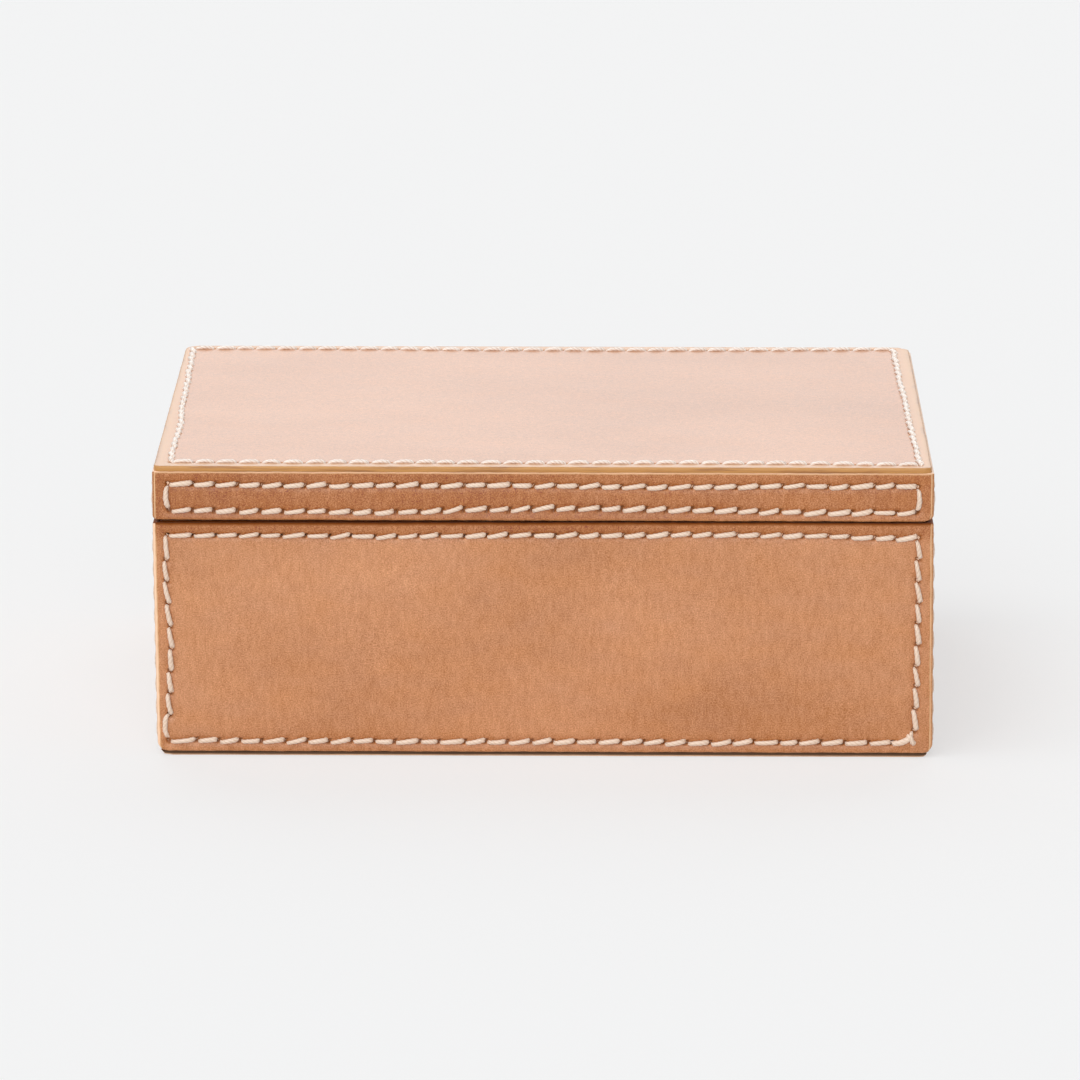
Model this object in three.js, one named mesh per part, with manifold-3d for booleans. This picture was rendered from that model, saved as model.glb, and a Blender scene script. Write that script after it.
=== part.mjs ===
import * as THREE from 'three';
import { mergeVertices } from 'three/addons/utils/BufferGeometryUtils.js';
import Module from 'manifold-3d';

// A leather keepsake box with a hinged lid, in millimetres.
// +X is the box's right, -Y is its front and +Z is up.
// The origin is the middle of the underside, on the plane that the box stands on.

const wasm = await Module();
wasm.setup();

// Overall size
const BOX_WIDTH = 203;
const BOX_DEPTH = 152;
const BOX_HEIGHT = 78;
const LID_HEIGHT = 14.3;
const PARTING_GAP = 0.8;

// Thickness of each layer
const TOP_LEATHER = 1.45;
const WALL_LEATHER = 1.2;
const UNDERSIDE_LEATHER = 1.3;
const RIM_LEATHER = 0.8;
const BOARD = 4;
const LINING = 0.8;

// Glue line between pieces that lie on each other or butt together
const GLUE_GAP = 0.25;

// Rounding of the leather
const TOP_CORNER_RADIUS = 2;
const PANEL_TOP_CORNER_RADIUS = 0.6;
const PANEL_FOOT_CORNER_RADIUS = 2.8;
const STRIP_FOOT_CORNER_RADIUS = 1.6;
const BASE_FOOT_RADIUS = 4;
const STRIP_FOOT_RADIUS = 1.1;
const UNDERSIDE_INSET = 0.6;
const RIM_CORNER_RADIUS = 0.8;

// Stitching: its pitch, and how far each row lies from the edge of its panel
const STITCH_PITCH = 5.8;
const COLUMN_INSET = 3.5;
const PANEL_TOP_ROW_INSET = 4.2;
const PANEL_FOOT_ROW_INSET = 2.4;
const STRIP_TOP_ROW_INSET = 3.9;
const STRIP_FOOT_ROW_INSET = 2.2;
const LID_TOP_ROW_INSET = 3.4;
const UNDERSIDE_ROW_INSET = 6;

// Thread: wide and high between two holes, narrow and low at each hole
const THREAD_WIDTH = 1.5;
const THREAD_RISE = 0.85;
const THREAD_SINK = 0.3;
const HOLE_THREAD_WIDTH = 0.7;
const HOLE_THREAD_RISE = 0.05;
const STITCH_LEAN = 0.5;
const THREAD_CLEARANCE = 0.25;

// The underside's thread lies in a deeper groove, so that the box doesn't stand on it
const SUNK_THREAD_RISE = -0.1;
const SUNK_HOLE_THREAD_RISE = -0.4;
const SUNK_THREAD_SINK = 0.65;

// Hinges, each with its middle at an inset from the box's end
const HINGE_END_INSET = 40.5;
const HINGE_LENGTH = 25;
const LEAF_REACH = 5.4;
const LEAF_CORNER_RADIUS = 0.8;
const KNUCKLE_RADIUS = 1.75;
const KNUCKLE_STANDOFF = 2.1;
const KNUCKLE_CLEARANCE = 0.3;
const OUTER_KNUCKLE_LENGTH = 6;
const PIN_RADIUS = 0.7;
const PIN_CLEARANCE = 0.25;
const PIN_HEAD_RADIUS = 1.3;
const PIN_HEAD_LENGTH = 0.5;
const STOP_RADIUS = 3.1;
const STOP_ANGLE_DEGREES = 107;

// Screws that hold the leaves, each at an inset from the leaf's end and from its inner edge
const SCREW_END_INSET = 5;
const SCREW_INSET = 1.9;
const SCREW_HEAD_RADIUS = 1.4;
const SCREW_HEAD_DEPTH = 0.6;
const SCREW_HEAD_SINK = 0.05;
const SCREW_SHANK_RADIUS = 0.7;
const SCREW_LENGTH = 5.5;
const SCREW_CLEARANCE = 0.2;

// Every cut runs past the face that it opens by this much
const CUT_OVERRUN = 1;

const ARC_STEPS = 6;
const KNUCKLE_SIDES = 16;
const SCREW_SIDES = 12;
const QUARTER_TURN = Math.PI / 2;
const HALF_TURN = Math.PI;

// Sizes that follow from the ones above
const baseRim = BOX_HEIGHT - LID_HEIGHT - PARTING_GAP;
const boardInset = WALL_LEATHER + GLUE_GAP;
const liningInset = boardInset + BOARD + GLUE_GAP;
const wallThickness = liningInset + LINING;
const rimDepth = RIM_LEATHER + GLUE_GAP;
const baseLeatherFoot = UNDERSIDE_LEATHER + GLUE_GAP;
const baseWallFoot = baseLeatherFoot + BOARD + GLUE_GAP;
const baseWallTop = baseRim - rimDepth;
const stripTop = LID_HEIGHT - TOP_LEATHER - GLUE_GAP;
const railTop = stripTop - BOARD - GLUE_GAP;
const grooveReach = THREAD_WIDTH / 2 + THREAD_CLEARANCE;
const hingeHalf = HINGE_LENGTH / 2;
const hingeReach = BOX_WIDTH / 2 - HINGE_END_INSET;
const hingeCentres = { left: -hingeReach, right: hingeReach };
const screwReach = hingeHalf - SCREW_END_INSET;
const screwPlaces = [-screwReach, screwReach];

const leather = new THREE.MeshStandardMaterial({ color: 0xc98c64, roughness: 0.55, metalness: 0 });
const thread = new THREE.MeshStandardMaterial({ color: 0xebdecd, roughness: 0.7, metalness: 0 });
const board = new THREE.MeshStandardMaterial({ color: 0x8a5f3e, roughness: 0.85, metalness: 0 });
const suede = new THREE.MeshStandardMaterial({ color: 0xd6b48e, roughness: 0.95, metalness: 0 });
const brass = new THREE.MeshStandardMaterial({ color: 0xb8944c, roughness: 0.35, metalness: 1 });

// Makes a closed geometry into a solid that can be cut and joined
function solidFrom(geometry) {
  const bare = geometry.clone();
  bare.deleteAttribute('normal');
  bare.deleteAttribute('uv');
  const merged = mergeVertices(bare);
  return new wasm.Manifold(new wasm.Mesh({
    numProp: 3,
    vertProperties: new Float32Array(merged.attributes.position.array),
    triVerts: new Uint32Array(merged.index.array),
  }));
}

// Makes a solid into a flat-shaded geometry again
function geometryFrom(solid) {
  const { vertProperties, triVerts } = solid.getMesh();
  const indexed = new THREE.BufferGeometry();
  indexed.setAttribute('position', new THREE.BufferAttribute(new Float32Array(vertProperties), 3));
  indexed.setIndex(new THREE.BufferAttribute(new Uint32Array(triVerts), 1));
  const faceted = indexed.toNonIndexed();
  faceted.computeVertexNormals();
  return faceted;
}

// One geometry with others joined to it and others cut from it
function carve(body, joined, cuts) {
  let solid = solidFrom(body);
  for (const geometry of joined) {
    solid = solid.add(solidFrom(geometry));
  }
  for (const geometry of cuts) {
    solid = solid.subtract(solidFrom(geometry));
  }
  return geometryFrom(solid);
}

function addPiece(group, name, geometry, material) {
  const mesh = new THREE.Mesh(geometry, material);
  mesh.name = name;
  group.add(mesh);
}

// A block that spans the given ranges of x, y and z
function block([left, right], [low, high], [back, front]) {
  const geometry = new THREE.BoxGeometry(right - left, high - low, front - back);
  geometry.translate((left + right) / 2, (low + high) / 2, (back + front) / 2);
  return geometry;
}

// A rectangle's outline, centred on x, with its own radius at the two foot corners and the two top corners
function outline(width, foot, top, footRadius, topRadius) {
  const half = width / 2;
  const shape = new THREE.Shape();
  const corners = [
    { x: half, y: foot, radius: footRadius, inX: -1, inY: 1, turn: -QUARTER_TURN },
    { x: half, y: top, radius: topRadius, inX: -1, inY: -1, turn: 0 },
    { x: -half, y: top, radius: topRadius, inX: 1, inY: -1, turn: QUARTER_TURN },
    { x: -half, y: foot, radius: footRadius, inX: 1, inY: 1, turn: HALF_TURN },
  ];
  shape.moveTo(0, foot);
  for (const { x, y, radius, inX, inY, turn } of corners) {
    if (radius > 0) {
      shape.absarc(x + inX * radius, y + inY * radius, radius, turn, turn + QUARTER_TURN, false);
    } else {
      shape.lineTo(x, y);
    }
  }
  return shape;
}

// An outline made into a slab that spans the given range of z
function slab(shape, [back, front]) {
  const settings = { depth: front - back, bevelEnabled: false, curveSegments: ARC_STEPS };
  const geometry = new THREE.ExtrudeGeometry(shape, settings);
  geometry.translate(0, 0, back);
  return geometry;
}

// A bar of a round section along x
function bar(radius, [start, end]) {
  const geometry = new THREE.CylinderGeometry(radius, radius, end - start, KNUCKLE_SIDES);
  geometry.rotateZ(QUARTER_TURN);
  geometry.translate((start + end) / 2, 0, 0);
  return geometry;
}

// Cuts a round edge along x, where a panel's foot at y = 0 meets its outer face at z = 0
function edgeRounder(radius, length) {
  const section = new THREE.Shape();
  section.moveTo(-CUT_OVERRUN, -CUT_OVERRUN);
  section.lineTo(radius, -CUT_OVERRUN);
  section.absarc(radius, radius, radius, -QUARTER_TURN, -HALF_TURN, true);
  section.lineTo(-CUT_OVERRUN, radius);
  const reach = length / 2 + CUT_OVERRUN;
  const geometry = slab(section, [-reach, reach]);
  geometry.rotateY(QUARTER_TURN);
  return geometry;
}

// The rectangle of a panel's stitches, and the groove that they lie in
function stitchRectangle(width, foot, top) {
  return { half: width / 2, foot, top };
}

function stitchGroove({ half, foot, top }, sink) {
  const shape = outline(2 * (half + grooveReach), foot - grooveReach, top + grooveReach, 0, 0);
  shape.holes.push(outline(2 * (half - grooveReach), foot + grooveReach, top - grooveReach, 0, 0));
  return slab(shape, [-sink - THREAD_CLEARANCE, CUT_OVERRUN]);
}

// One closed thread round a rectangle, in a panel's frame. Each stitch rises to a ridge between two holes.
function threadLoop({ half, foot, top }, sink, rise, holeRise) {
  const corners = [[-half, foot], [half, foot], [half, top], [-half, top]];
  const crest = { reach: THREAD_WIDTH / 2, rise, lean: STITCH_LEAN };
  const hole = { reach: HOLE_THREAD_WIDTH / 2, rise: holeRise, lean: 0 };
  const stations = [];
  corners.forEach(([startX, startY], side) => {
    const [endX, endY] = corners[(side + 1) % corners.length];
    const length = Math.hypot(endX - startX, endY - startY);
    const along = new THREE.Vector2(endX - startX, endY - startY).divideScalar(length);
    const across = new THREE.Vector2(along.y, -along.x);
    const mitre = across.clone().sub(along);
    const count = Math.max(1, Math.round(length / STITCH_PITCH));
    for (let stitch = 0; stitch < count; stitch += 1) {
      const holePlace = new THREE.Vector2(startX, startY).addScaledVector(along, length * stitch / count);
      const crestPlace = holePlace.clone().addScaledVector(along, length / count / 2);
      stations.push({ place: holePlace, along, across: stitch === 0 ? mitre : across, ...hole });
      stations.push({ place: crestPlace, along, across, ...crest });
    }
  });

  // Each station has a vertex at its inner foot, its outer foot and its ridge
  const positions = [];
  for (const station of stations) {
    for (const edge of [-1, 1]) {
      const point = station.place.clone();
      point.addScaledVector(station.across, edge * station.reach);
      point.addScaledVector(station.along, edge * station.lean);
      positions.push(point.x, point.y, -sink);
    }
    positions.push(station.place.x, station.place.y, station.rise);
  }
  const sides = 3;
  const indices = [];
  for (let station = 0; station < stations.length; station += 1) {
    const next = (station + 1) % stations.length;
    for (let side = 0; side < sides; side += 1) {
      const other = (side + 1) % sides;
      const [here, hereOther] = [station * sides + side, station * sides + other];
      const [there, thereOther] = [next * sides + side, next * sides + other];
      indices.push(here, there, thereOther, here, thereOther, hereOther);
    }
  }
  const geometry = new THREE.BufferGeometry();
  geometry.setAttribute('position', new THREE.Float32BufferAttribute(positions, 3));
  geometry.setIndex(indices);
  const faceted = geometry.toNonIndexed();
  faceted.computeVertexNormals();
  return faceted;
}

// The four upright faces. The long panels butt between the end panels, and the end boards and
// linings butt between the long ones.
const longWall = {
  isEnd: false,
  leatherWidth: BOX_WIDTH - 2 * boardInset,
  boardWidth: BOX_WIDTH - 2 * boardInset,
  liningWidth: BOX_WIDTH - 2 * liningInset,
  reach: BOX_DEPTH / 2,
};
const endWall = {
  isEnd: true,
  leatherWidth: BOX_DEPTH,
  boardWidth: BOX_DEPTH - 2 * liningInset,
  liningWidth: BOX_DEPTH - 2 * (wallThickness + GLUE_GAP),
  reach: BOX_WIDTH / 2,
};
const walls = [
  { side: 'front', turn: 0, ...longWall },
  { side: 'right', turn: QUARTER_TURN, ...endWall },
  { side: 'back', turn: HALF_TURN, ...longWall },
  { side: 'left', turn: -QUARTER_TURN, ...endWall },
];

// The base's walls stand on its bottom board, and its leather reaches down to the underside's panel
const baseWalls = {
  name: 'base',
  boardName: 'board',
  leather: [baseLeatherFoot, baseRim],
  board: [baseWallFoot, baseWallTop],
  footCornerRadius: PANEL_FOOT_CORNER_RADIUS,
  footRadius: BASE_FOOT_RADIUS,
  rows: [baseLeatherFoot + PANEL_FOOT_ROW_INSET, baseRim - PANEL_TOP_ROW_INSET],
  rim: [baseRim - RIM_LEATHER, baseRim],
};

// The lid's walls, with heights that start at its rim
const lidWalls = {
  name: 'lid',
  boardName: 'rail',
  leather: [0, stripTop],
  board: [rimDepth, railTop],
  footCornerRadius: STRIP_FOOT_CORNER_RADIUS,
  footRadius: STRIP_FOOT_RADIUS,
  rows: [STRIP_FOOT_ROW_INSET, stripTop - STRIP_TOP_ROW_INSET],
  rim: [0, RIM_LEATHER],
};

// A frame for an upright face: x runs along it, y is up, and z points out of the box from its outer face
function wallFrame(parent, { turn, reach }) {
  const frame = new THREE.Group();
  frame.rotation.set(QUARTER_TURN, 0, turn, 'ZYX');
  frame.position.set(Math.sin(turn) * reach, -Math.cos(turn) * reach, 0);
  parent.add(frame);
  return frame;
}

// Where each hinge's leaf passes through the back leather, in the back wall's frame
function leafNotches([low, high]) {
  return Object.values(hingeCentres).map((centre) => block(
    [centre - hingeHalf - GLUE_GAP, centre + hingeHalf + GLUE_GAP],
    [low - GLUE_GAP, high + GLUE_GAP],
    [-WALL_LEATHER - CUT_OVERRUN, CUT_OVERRUN],
  ));
}

// The pilot holes of the hinge screws in the back board, which open at its rim edge
function pilotHoles([low, high]) {
  const centres = Object.values(hingeCentres);
  return centres.flatMap((centre) => screwPlaces.map((place) => {
    const hole = new THREE.CylinderGeometry(
      SCREW_SHANK_RADIUS + SCREW_CLEARANCE, SCREW_SHANK_RADIUS + SCREW_CLEARANCE, high - low, SCREW_SIDES,
    );
    hole.translate(centre + place, (low + high) / 2, SCREW_INSET - LEAF_REACH);
    return hole;
  }));
}

// The leather, stitching, board and lining of one wall
function addWall(parent, wall, part, leatherCuts, boardCuts) {
  const frame = wallFrame(parent, wall);
  const [foot, top] = part.leather;
  const stitches = stitchRectangle(wall.leatherWidth - 2 * COLUMN_INSET, ...part.rows);
  const cuts = [stitchGroove(stitches, THREAD_SINK), ...leatherCuts];
  const half = wall.leatherWidth / 2;
  let panel = slab(
    outline(wall.leatherWidth, foot, top, part.footCornerRadius, PANEL_TOP_CORNER_RADIUS),
    [-WALL_LEATHER, 0],
  );
  if (wall.isEnd) {
    panel = block([-half, half], [foot, top], [-WALL_LEATHER, 0]);
    cuts.push(edgeRounder(part.footRadius, wall.leatherWidth));
  }
  const name = `${part.name}_${wall.side}`;
  addPiece(frame, `${name}_leather`, carve(panel, [], cuts), leather);
  const loop = threadLoop(stitches, THREAD_SINK, THREAD_RISE, HOLE_THREAD_RISE);
  addPiece(frame, `${name}_thread`, loop, thread);

  const boardHalf = wall.boardWidth / 2;
  const core = block([-boardHalf, boardHalf], part.board, [-boardInset - BOARD, -boardInset]);
  addPiece(frame, `${name}_${part.boardName}`, carve(core, [], boardCuts), board);

  const liningHalf = wall.liningWidth / 2;
  const skin = block([-liningHalf, liningHalf], part.board, [-wallThickness, -liningInset]);
  addPiece(frame, `${name}_lining`, skin, suede);
}

// A ring of thin leather over the boards' edges, notched where the hinges' leaves are let in
function addRim(parent, part) {
  const [low, high] = part.rim;
  const outerHalf = BOX_DEPTH / 2 - boardInset;
  const innerHalf = BOX_DEPTH / 2 - wallThickness;
  const shape = outline(BOX_WIDTH - 2 * boardInset, -outerHalf, outerHalf, 0, 0);
  const hollow = outline(
    BOX_WIDTH - 2 * wallThickness, -innerHalf, innerHalf, RIM_CORNER_RADIUS, RIM_CORNER_RADIUS,
  );
  shape.holes.push(hollow);
  const notches = Object.values(hingeCentres).map((centre) => block(
    [centre - hingeHalf - GLUE_GAP, centre + hingeHalf + GLUE_GAP],
    [BOX_DEPTH / 2 - LEAF_REACH - GLUE_GAP, BOX_DEPTH / 2],
    [low - CUT_OVERRUN, high + CUT_OVERRUN],
  ));
  addPiece(parent, `${part.name}_rim_leather`, carve(slab(shape, part.rim), [], notches), leather);
}

// A level board or lining, inset on every side from the box's outline
function levelSheet(inset, range) {
  const [halfWidth, halfDepth] = [BOX_WIDTH / 2 - inset, BOX_DEPTH / 2 - inset];
  return block([-halfWidth, halfWidth], [-halfDepth, halfDepth], range);
}

// The base: its walls and rim, its bottom board, floor lining and underside
function addBase(parent) {
  for (const wall of walls) {
    const isBack = wall.side === 'back';
    const leatherCuts = isBack ? leafNotches(baseWalls.rim) : [];
    const screwTip = baseRim - SCREW_HEAD_SINK - SCREW_LENGTH;
    const boardCuts = isBack ? pilotHoles([screwTip - SCREW_CLEARANCE, baseRim]) : [];
    addWall(parent, wall, baseWalls, leatherCuts, boardCuts);
  }
  addRim(parent, baseWalls);
  const bottom = levelSheet(boardInset, [baseLeatherFoot, baseLeatherFoot + BOARD]);
  addPiece(parent, 'base_bottom_board', bottom, board);
  const floor = levelSheet(wallThickness + GLUE_GAP, [baseWallFoot, baseWallFoot + LINING]);
  addPiece(parent, 'base_floor_lining', floor, suede);

  // The underside's frame looks down: its z points out of the box
  const frame = new THREE.Group();
  frame.rotation.x = HALF_TURN;
  parent.add(frame);
  const halfDepth = BOX_DEPTH / 2 - UNDERSIDE_INSET;
  const panel = slab(outline(BOX_WIDTH, -halfDepth, halfDepth, 0, 0), [-UNDERSIDE_LEATHER, 0]);
  const rowReach = BOX_DEPTH / 2 - UNDERSIDE_ROW_INSET;
  const stitches = stitchRectangle(BOX_WIDTH - 2 * UNDERSIDE_ROW_INSET, -rowReach, rowReach);
  const cuts = [stitchGroove(stitches, SUNK_THREAD_SINK)];
  for (const side of [-1, 1]) {
    const rounder = edgeRounder(BASE_FOOT_RADIUS, BOX_DEPTH);
    rounder.rotateZ(side * QUARTER_TURN);
    rounder.translate(side * BOX_WIDTH / 2, 0, 0);
    cuts.push(rounder);
  }
  addPiece(frame, 'underside_leather', carve(panel, [], cuts), leather);
  const loop = threadLoop(stitches, SUNK_THREAD_SINK, SUNK_THREAD_RISE, SUNK_HOLE_THREAD_RISE);
  addPiece(frame, 'underside_thread', loop, thread);
}

// The lid: its walls and rim, its top board, ceiling lining and top panel
function addLid(parent) {
  for (const wall of walls) {
    const isBack = wall.side === 'back';
    const leatherCuts = isBack ? leafNotches(lidWalls.rim) : [];
    const screwTip = SCREW_HEAD_SINK + SCREW_LENGTH;
    const boardCuts = isBack ? pilotHoles([0, screwTip + SCREW_CLEARANCE]) : [];
    addWall(parent, wall, lidWalls, leatherCuts, boardCuts);
  }
  addRim(parent, lidWalls);
  addPiece(parent, 'lid_top_board', levelSheet(boardInset, [stripTop - BOARD, stripTop]), board);
  const ceiling = levelSheet(wallThickness + GLUE_GAP, [railTop - LINING, railTop]);
  addPiece(parent, 'lid_top_lining', ceiling, suede);

  const frame = new THREE.Group();
  frame.position.z = LID_HEIGHT;
  parent.add(frame);
  const halfDepth = BOX_DEPTH / 2;
  const panel = slab(
    outline(BOX_WIDTH, -halfDepth, halfDepth, TOP_CORNER_RADIUS, TOP_CORNER_RADIUS), [-TOP_LEATHER, 0],
  );
  const rowReach = halfDepth - LID_TOP_ROW_INSET;
  const stitches = stitchRectangle(BOX_WIDTH - 2 * LID_TOP_ROW_INSET, -rowReach, rowReach);
  addPiece(frame, 'lid_top_leather', carve(panel, [], [stitchGroove(stitches, THREAD_SINK)]), leather);
  const loop = threadLoop(stitches, THREAD_SINK, THREAD_RISE, HOLE_THREAD_RISE);
  addPiece(frame, 'lid_top_thread', loop, thread);
}

// A hinge's own frame has x along its pin, y up and z away from the box. In it the base's leaf lies
// below the pin, and the lid's leaf is a leaf of the same kind turned over about z.
const leafFace = -PARTING_GAP / 2;
const leafInnerEdge = -KNUCKLE_STANDOFF - LEAF_REACH;
const leafOuterEdge = -KNUCKLE_RADIUS - KNUCKLE_CLEARANCE;
const outerKnuckleStart = hingeHalf - OUTER_KNUCKLE_LENGTH;
const outerKnuckles = [[-hingeHalf, -outerKnuckleStart], [outerKnuckleStart, hingeHalf]];
const middleKnuckleEnd = outerKnuckleStart - KNUCKLE_CLEARANCE;
const middleKnuckle = [[-middleKnuckleEnd, middleKnuckleEnd]];

// A wedge of a ring round the pin, from straight below it to the face that stops the lid
function stopWedge(innerRadius, [start, end]) {
  const stopFace = -THREE.MathUtils.degToRad(STOP_ANGLE_DEGREES) / 2;
  const section = new THREE.Shape();
  section.absarc(0, 0, STOP_RADIUS, -QUARTER_TURN, stopFace, false);
  section.absarc(0, 0, innerRadius, stopFace, -QUARTER_TURN, true);
  const geometry = slab(section, [-end, -start]);
  geometry.rotateY(-QUARTER_TURN);
  return geometry;
}

// A screw's solid below its head's flat face, or with a clearance the hole that it goes through
function screwShape(clearance, rise) {
  const shank = SCREW_SHANK_RADIUS + clearance;
  const head = SCREW_HEAD_RADIUS + clearance;
  const profile = [
    new THREE.Vector2(0, -SCREW_LENGTH),
    new THREE.Vector2(shank, -SCREW_LENGTH),
    new THREE.Vector2(shank, -SCREW_HEAD_DEPTH),
    new THREE.Vector2(head, 0),
  ];
  if (rise > 0) {
    profile.push(new THREE.Vector2(head, rise));
  }
  profile.push(new THREE.Vector2(0, rise));
  return new THREE.LatheGeometry(profile, SCREW_SIDES);
}

function hingeLeaf(knuckles) {
  const shape = outline(HINGE_LENGTH, leafInnerEdge, leafOuterEdge, LEAF_CORNER_RADIUS, 0);
  const sheet = slab(shape, [0, RIM_LEATHER]);
  sheet.rotateX(QUARTER_TURN);
  sheet.translate(0, leafFace, 0);
  const joined = [stopWedge(KNUCKLE_RADIUS + KNUCKLE_CLEARANCE, [-hingeHalf, hingeHalf])];
  for (const span of knuckles) {
    joined.push(block(span, [leafFace - RIM_LEATHER, leafFace], [leafOuterEdge - CUT_OVERRUN, 0]));
    joined.push(bar(KNUCKLE_RADIUS, span));
    joined.push(stopWedge(PIN_RADIUS, span));
  }
  const cuts = [bar(PIN_RADIUS + PIN_CLEARANCE, [-hingeHalf - CUT_OVERRUN, hingeHalf + CUT_OVERRUN])];
  for (const place of screwPlaces) {
    const hole = screwShape(SCREW_CLEARANCE, CUT_OVERRUN);
    hole.translate(place, leafFace, leafInnerEdge + SCREW_INSET);
    cuts.push(hole);
  }
  return carve(sheet, joined, cuts);
}

// The pin, with a round head at each end beyond the knuckles
function hingePin() {
  const headStart = hingeHalf + PIN_CLEARANCE;
  const headEnd = headStart + PIN_HEAD_LENGTH;
  const profile = [
    new THREE.Vector2(0, -headEnd),
    new THREE.Vector2(PIN_HEAD_RADIUS, -headEnd),
    new THREE.Vector2(PIN_HEAD_RADIUS, -headStart),
    new THREE.Vector2(PIN_RADIUS, -headStart),
    new THREE.Vector2(PIN_RADIUS, headStart),
    new THREE.Vector2(PIN_HEAD_RADIUS, headStart),
    new THREE.Vector2(PIN_HEAD_RADIUS, headEnd),
    new THREE.Vector2(0, headEnd),
  ];
  const geometry = new THREE.LatheGeometry(profile, KNUCKLE_SIDES);
  geometry.rotateZ(QUARTER_TURN);
  return geometry;
}

function addHinge(parent, side) {
  const frame = new THREE.Group();
  frame.rotation.set(QUARTER_TURN, 0, HALF_TURN, 'ZYX');
  frame.position.set(hingeCentres[side], BOX_DEPTH / 2 + KNUCKLE_STANDOFF, baseRim + PARTING_GAP / 2);
  parent.add(frame);
  addPiece(frame, `${side}_hinge_pin`, hingePin(), brass);

  const leaves = [
    { name: 'base', knuckles: outerKnuckles, turn: 0 },
    { name: 'lid', knuckles: middleKnuckle, turn: HALF_TURN },
  ];
  for (const { name, knuckles, turn } of leaves) {
    const leafFrame = new THREE.Group();
    leafFrame.rotation.z = turn;
    frame.add(leafFrame);
    addPiece(leafFrame, `${side}_hinge_${name}_leaf`, hingeLeaf(knuckles), brass);
    screwPlaces.forEach((place, index) => {
      const screw = screwShape(0, 0);
      screw.translate(place, leafFace - SCREW_HEAD_SINK, leafInnerEdge + SCREW_INSET);
      addPiece(leafFrame, `${side}_hinge_${name}_screw_${index + 1}`, screw, brass);
    });
  }
}

const box = new THREE.Group();
const base = new THREE.Group();
const lid = new THREE.Group();
lid.position.z = BOX_HEIGHT - LID_HEIGHT;
box.add(base, lid);
addBase(base);
addLid(lid);
for (const side of Object.keys(hingeCentres)) {
  addHinge(box, side);
}

export default box;
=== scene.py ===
import math

import bmesh
import bpy
import numpy as np
from mathutils import Euler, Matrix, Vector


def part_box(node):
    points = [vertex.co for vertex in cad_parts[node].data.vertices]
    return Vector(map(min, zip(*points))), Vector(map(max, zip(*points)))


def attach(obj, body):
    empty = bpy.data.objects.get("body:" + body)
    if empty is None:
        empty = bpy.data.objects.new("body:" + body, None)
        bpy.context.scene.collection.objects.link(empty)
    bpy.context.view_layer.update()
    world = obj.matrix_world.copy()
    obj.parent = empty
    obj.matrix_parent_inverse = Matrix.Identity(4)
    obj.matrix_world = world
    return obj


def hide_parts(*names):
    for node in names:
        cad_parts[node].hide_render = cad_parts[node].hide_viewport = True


# A hand-stitched box of natural leather. Sizes are in millimetres until a mesh is made, in metres.
# +X is the box's right, -Y its front and +Z is up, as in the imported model.

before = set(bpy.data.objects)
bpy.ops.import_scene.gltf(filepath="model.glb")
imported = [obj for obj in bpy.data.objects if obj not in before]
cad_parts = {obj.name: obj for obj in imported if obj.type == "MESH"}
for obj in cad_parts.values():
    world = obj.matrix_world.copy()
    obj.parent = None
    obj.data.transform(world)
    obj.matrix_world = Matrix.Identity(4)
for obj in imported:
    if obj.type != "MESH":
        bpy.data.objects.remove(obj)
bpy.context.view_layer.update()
MM = 0.001

# Camera, from the eight corners of the box in the photograph: its place in metres, its turns in degrees
CAMERA_PLACE = (0.01543, -1.8899, 0.4947)
CAMERA_PITCH_DOWN = 13.52
CAMERA_YAW = 0.52
CAMERA_ROLL = -0.05
CAMERA_LENS = 238.3
CAMERA_SENSOR = 36.0
CAMERA_CLIP_START = 0.1
CAMERA_CLIP_END = 50


def add_camera():
    """A long lens in front of the box and a little above it."""
    data = bpy.data.cameras.new("camera")
    data.lens = CAMERA_LENS
    data.sensor_width = CAMERA_SENSOR
    data.clip_start = CAMERA_CLIP_START
    data.clip_end = CAMERA_CLIP_END
    camera = bpy.data.objects.new("camera", data)
    camera.location = CAMERA_PLACE
    turns = (90 - CAMERA_PITCH_DOWN, CAMERA_ROLL, CAMERA_YAW)
    camera.rotation_euler = Euler([math.radians(turn) for turn in turns])
    bpy.context.scene.collection.objects.link(camera)
    bpy.context.scene.camera = camera


# Colours as they look in plain light, in sRGB
def shade(text, alpha=1.0):
    """A hex colour as the linear values that a shader takes."""
    channels = [int(text[place:place + 2], 16) / 255 for place in (0, 2, 4)]
    linear = [c / 12.92 if c <= 0.04045 else ((c + 0.055) / 1.055) ** 2.4 for c in channels]
    return (*linear, alpha)


LEATHER_PALE = shade("C28252")
LEATHER_DEEP = shade("AC672C")
# The cut edges' pale peach, partly their own colour and partly a painted highlight
EDGE_PEACH_HIGHLIGHT = shade("FFD7B6")
EDGE_GOLD = shade("C28A49")
EDGE_HONEY = shade("D39C62")
EDGE_BROWN = shade("9A6434")
# A painted highlight along the inside of cut edges
EDGE_HIGHLIGHT = shade("E9BE93")
# Painted shade in the parting and under the box's foot, and a tint that dims the gloss there
PARTING_SHADE = shade("783B0C")
FOOT_GAP_SHADE = shade("3E2E24")
GAP_SHADE_GLOSS = shade("A0785A")
# Painted shade in the awl's slits
SLIT_PAINTED_SHADE = shade("54301A")
THREAD_CREAM = shade("ECD4BF")
THREAD_SHADE = shade("D0AC8C")
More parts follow.
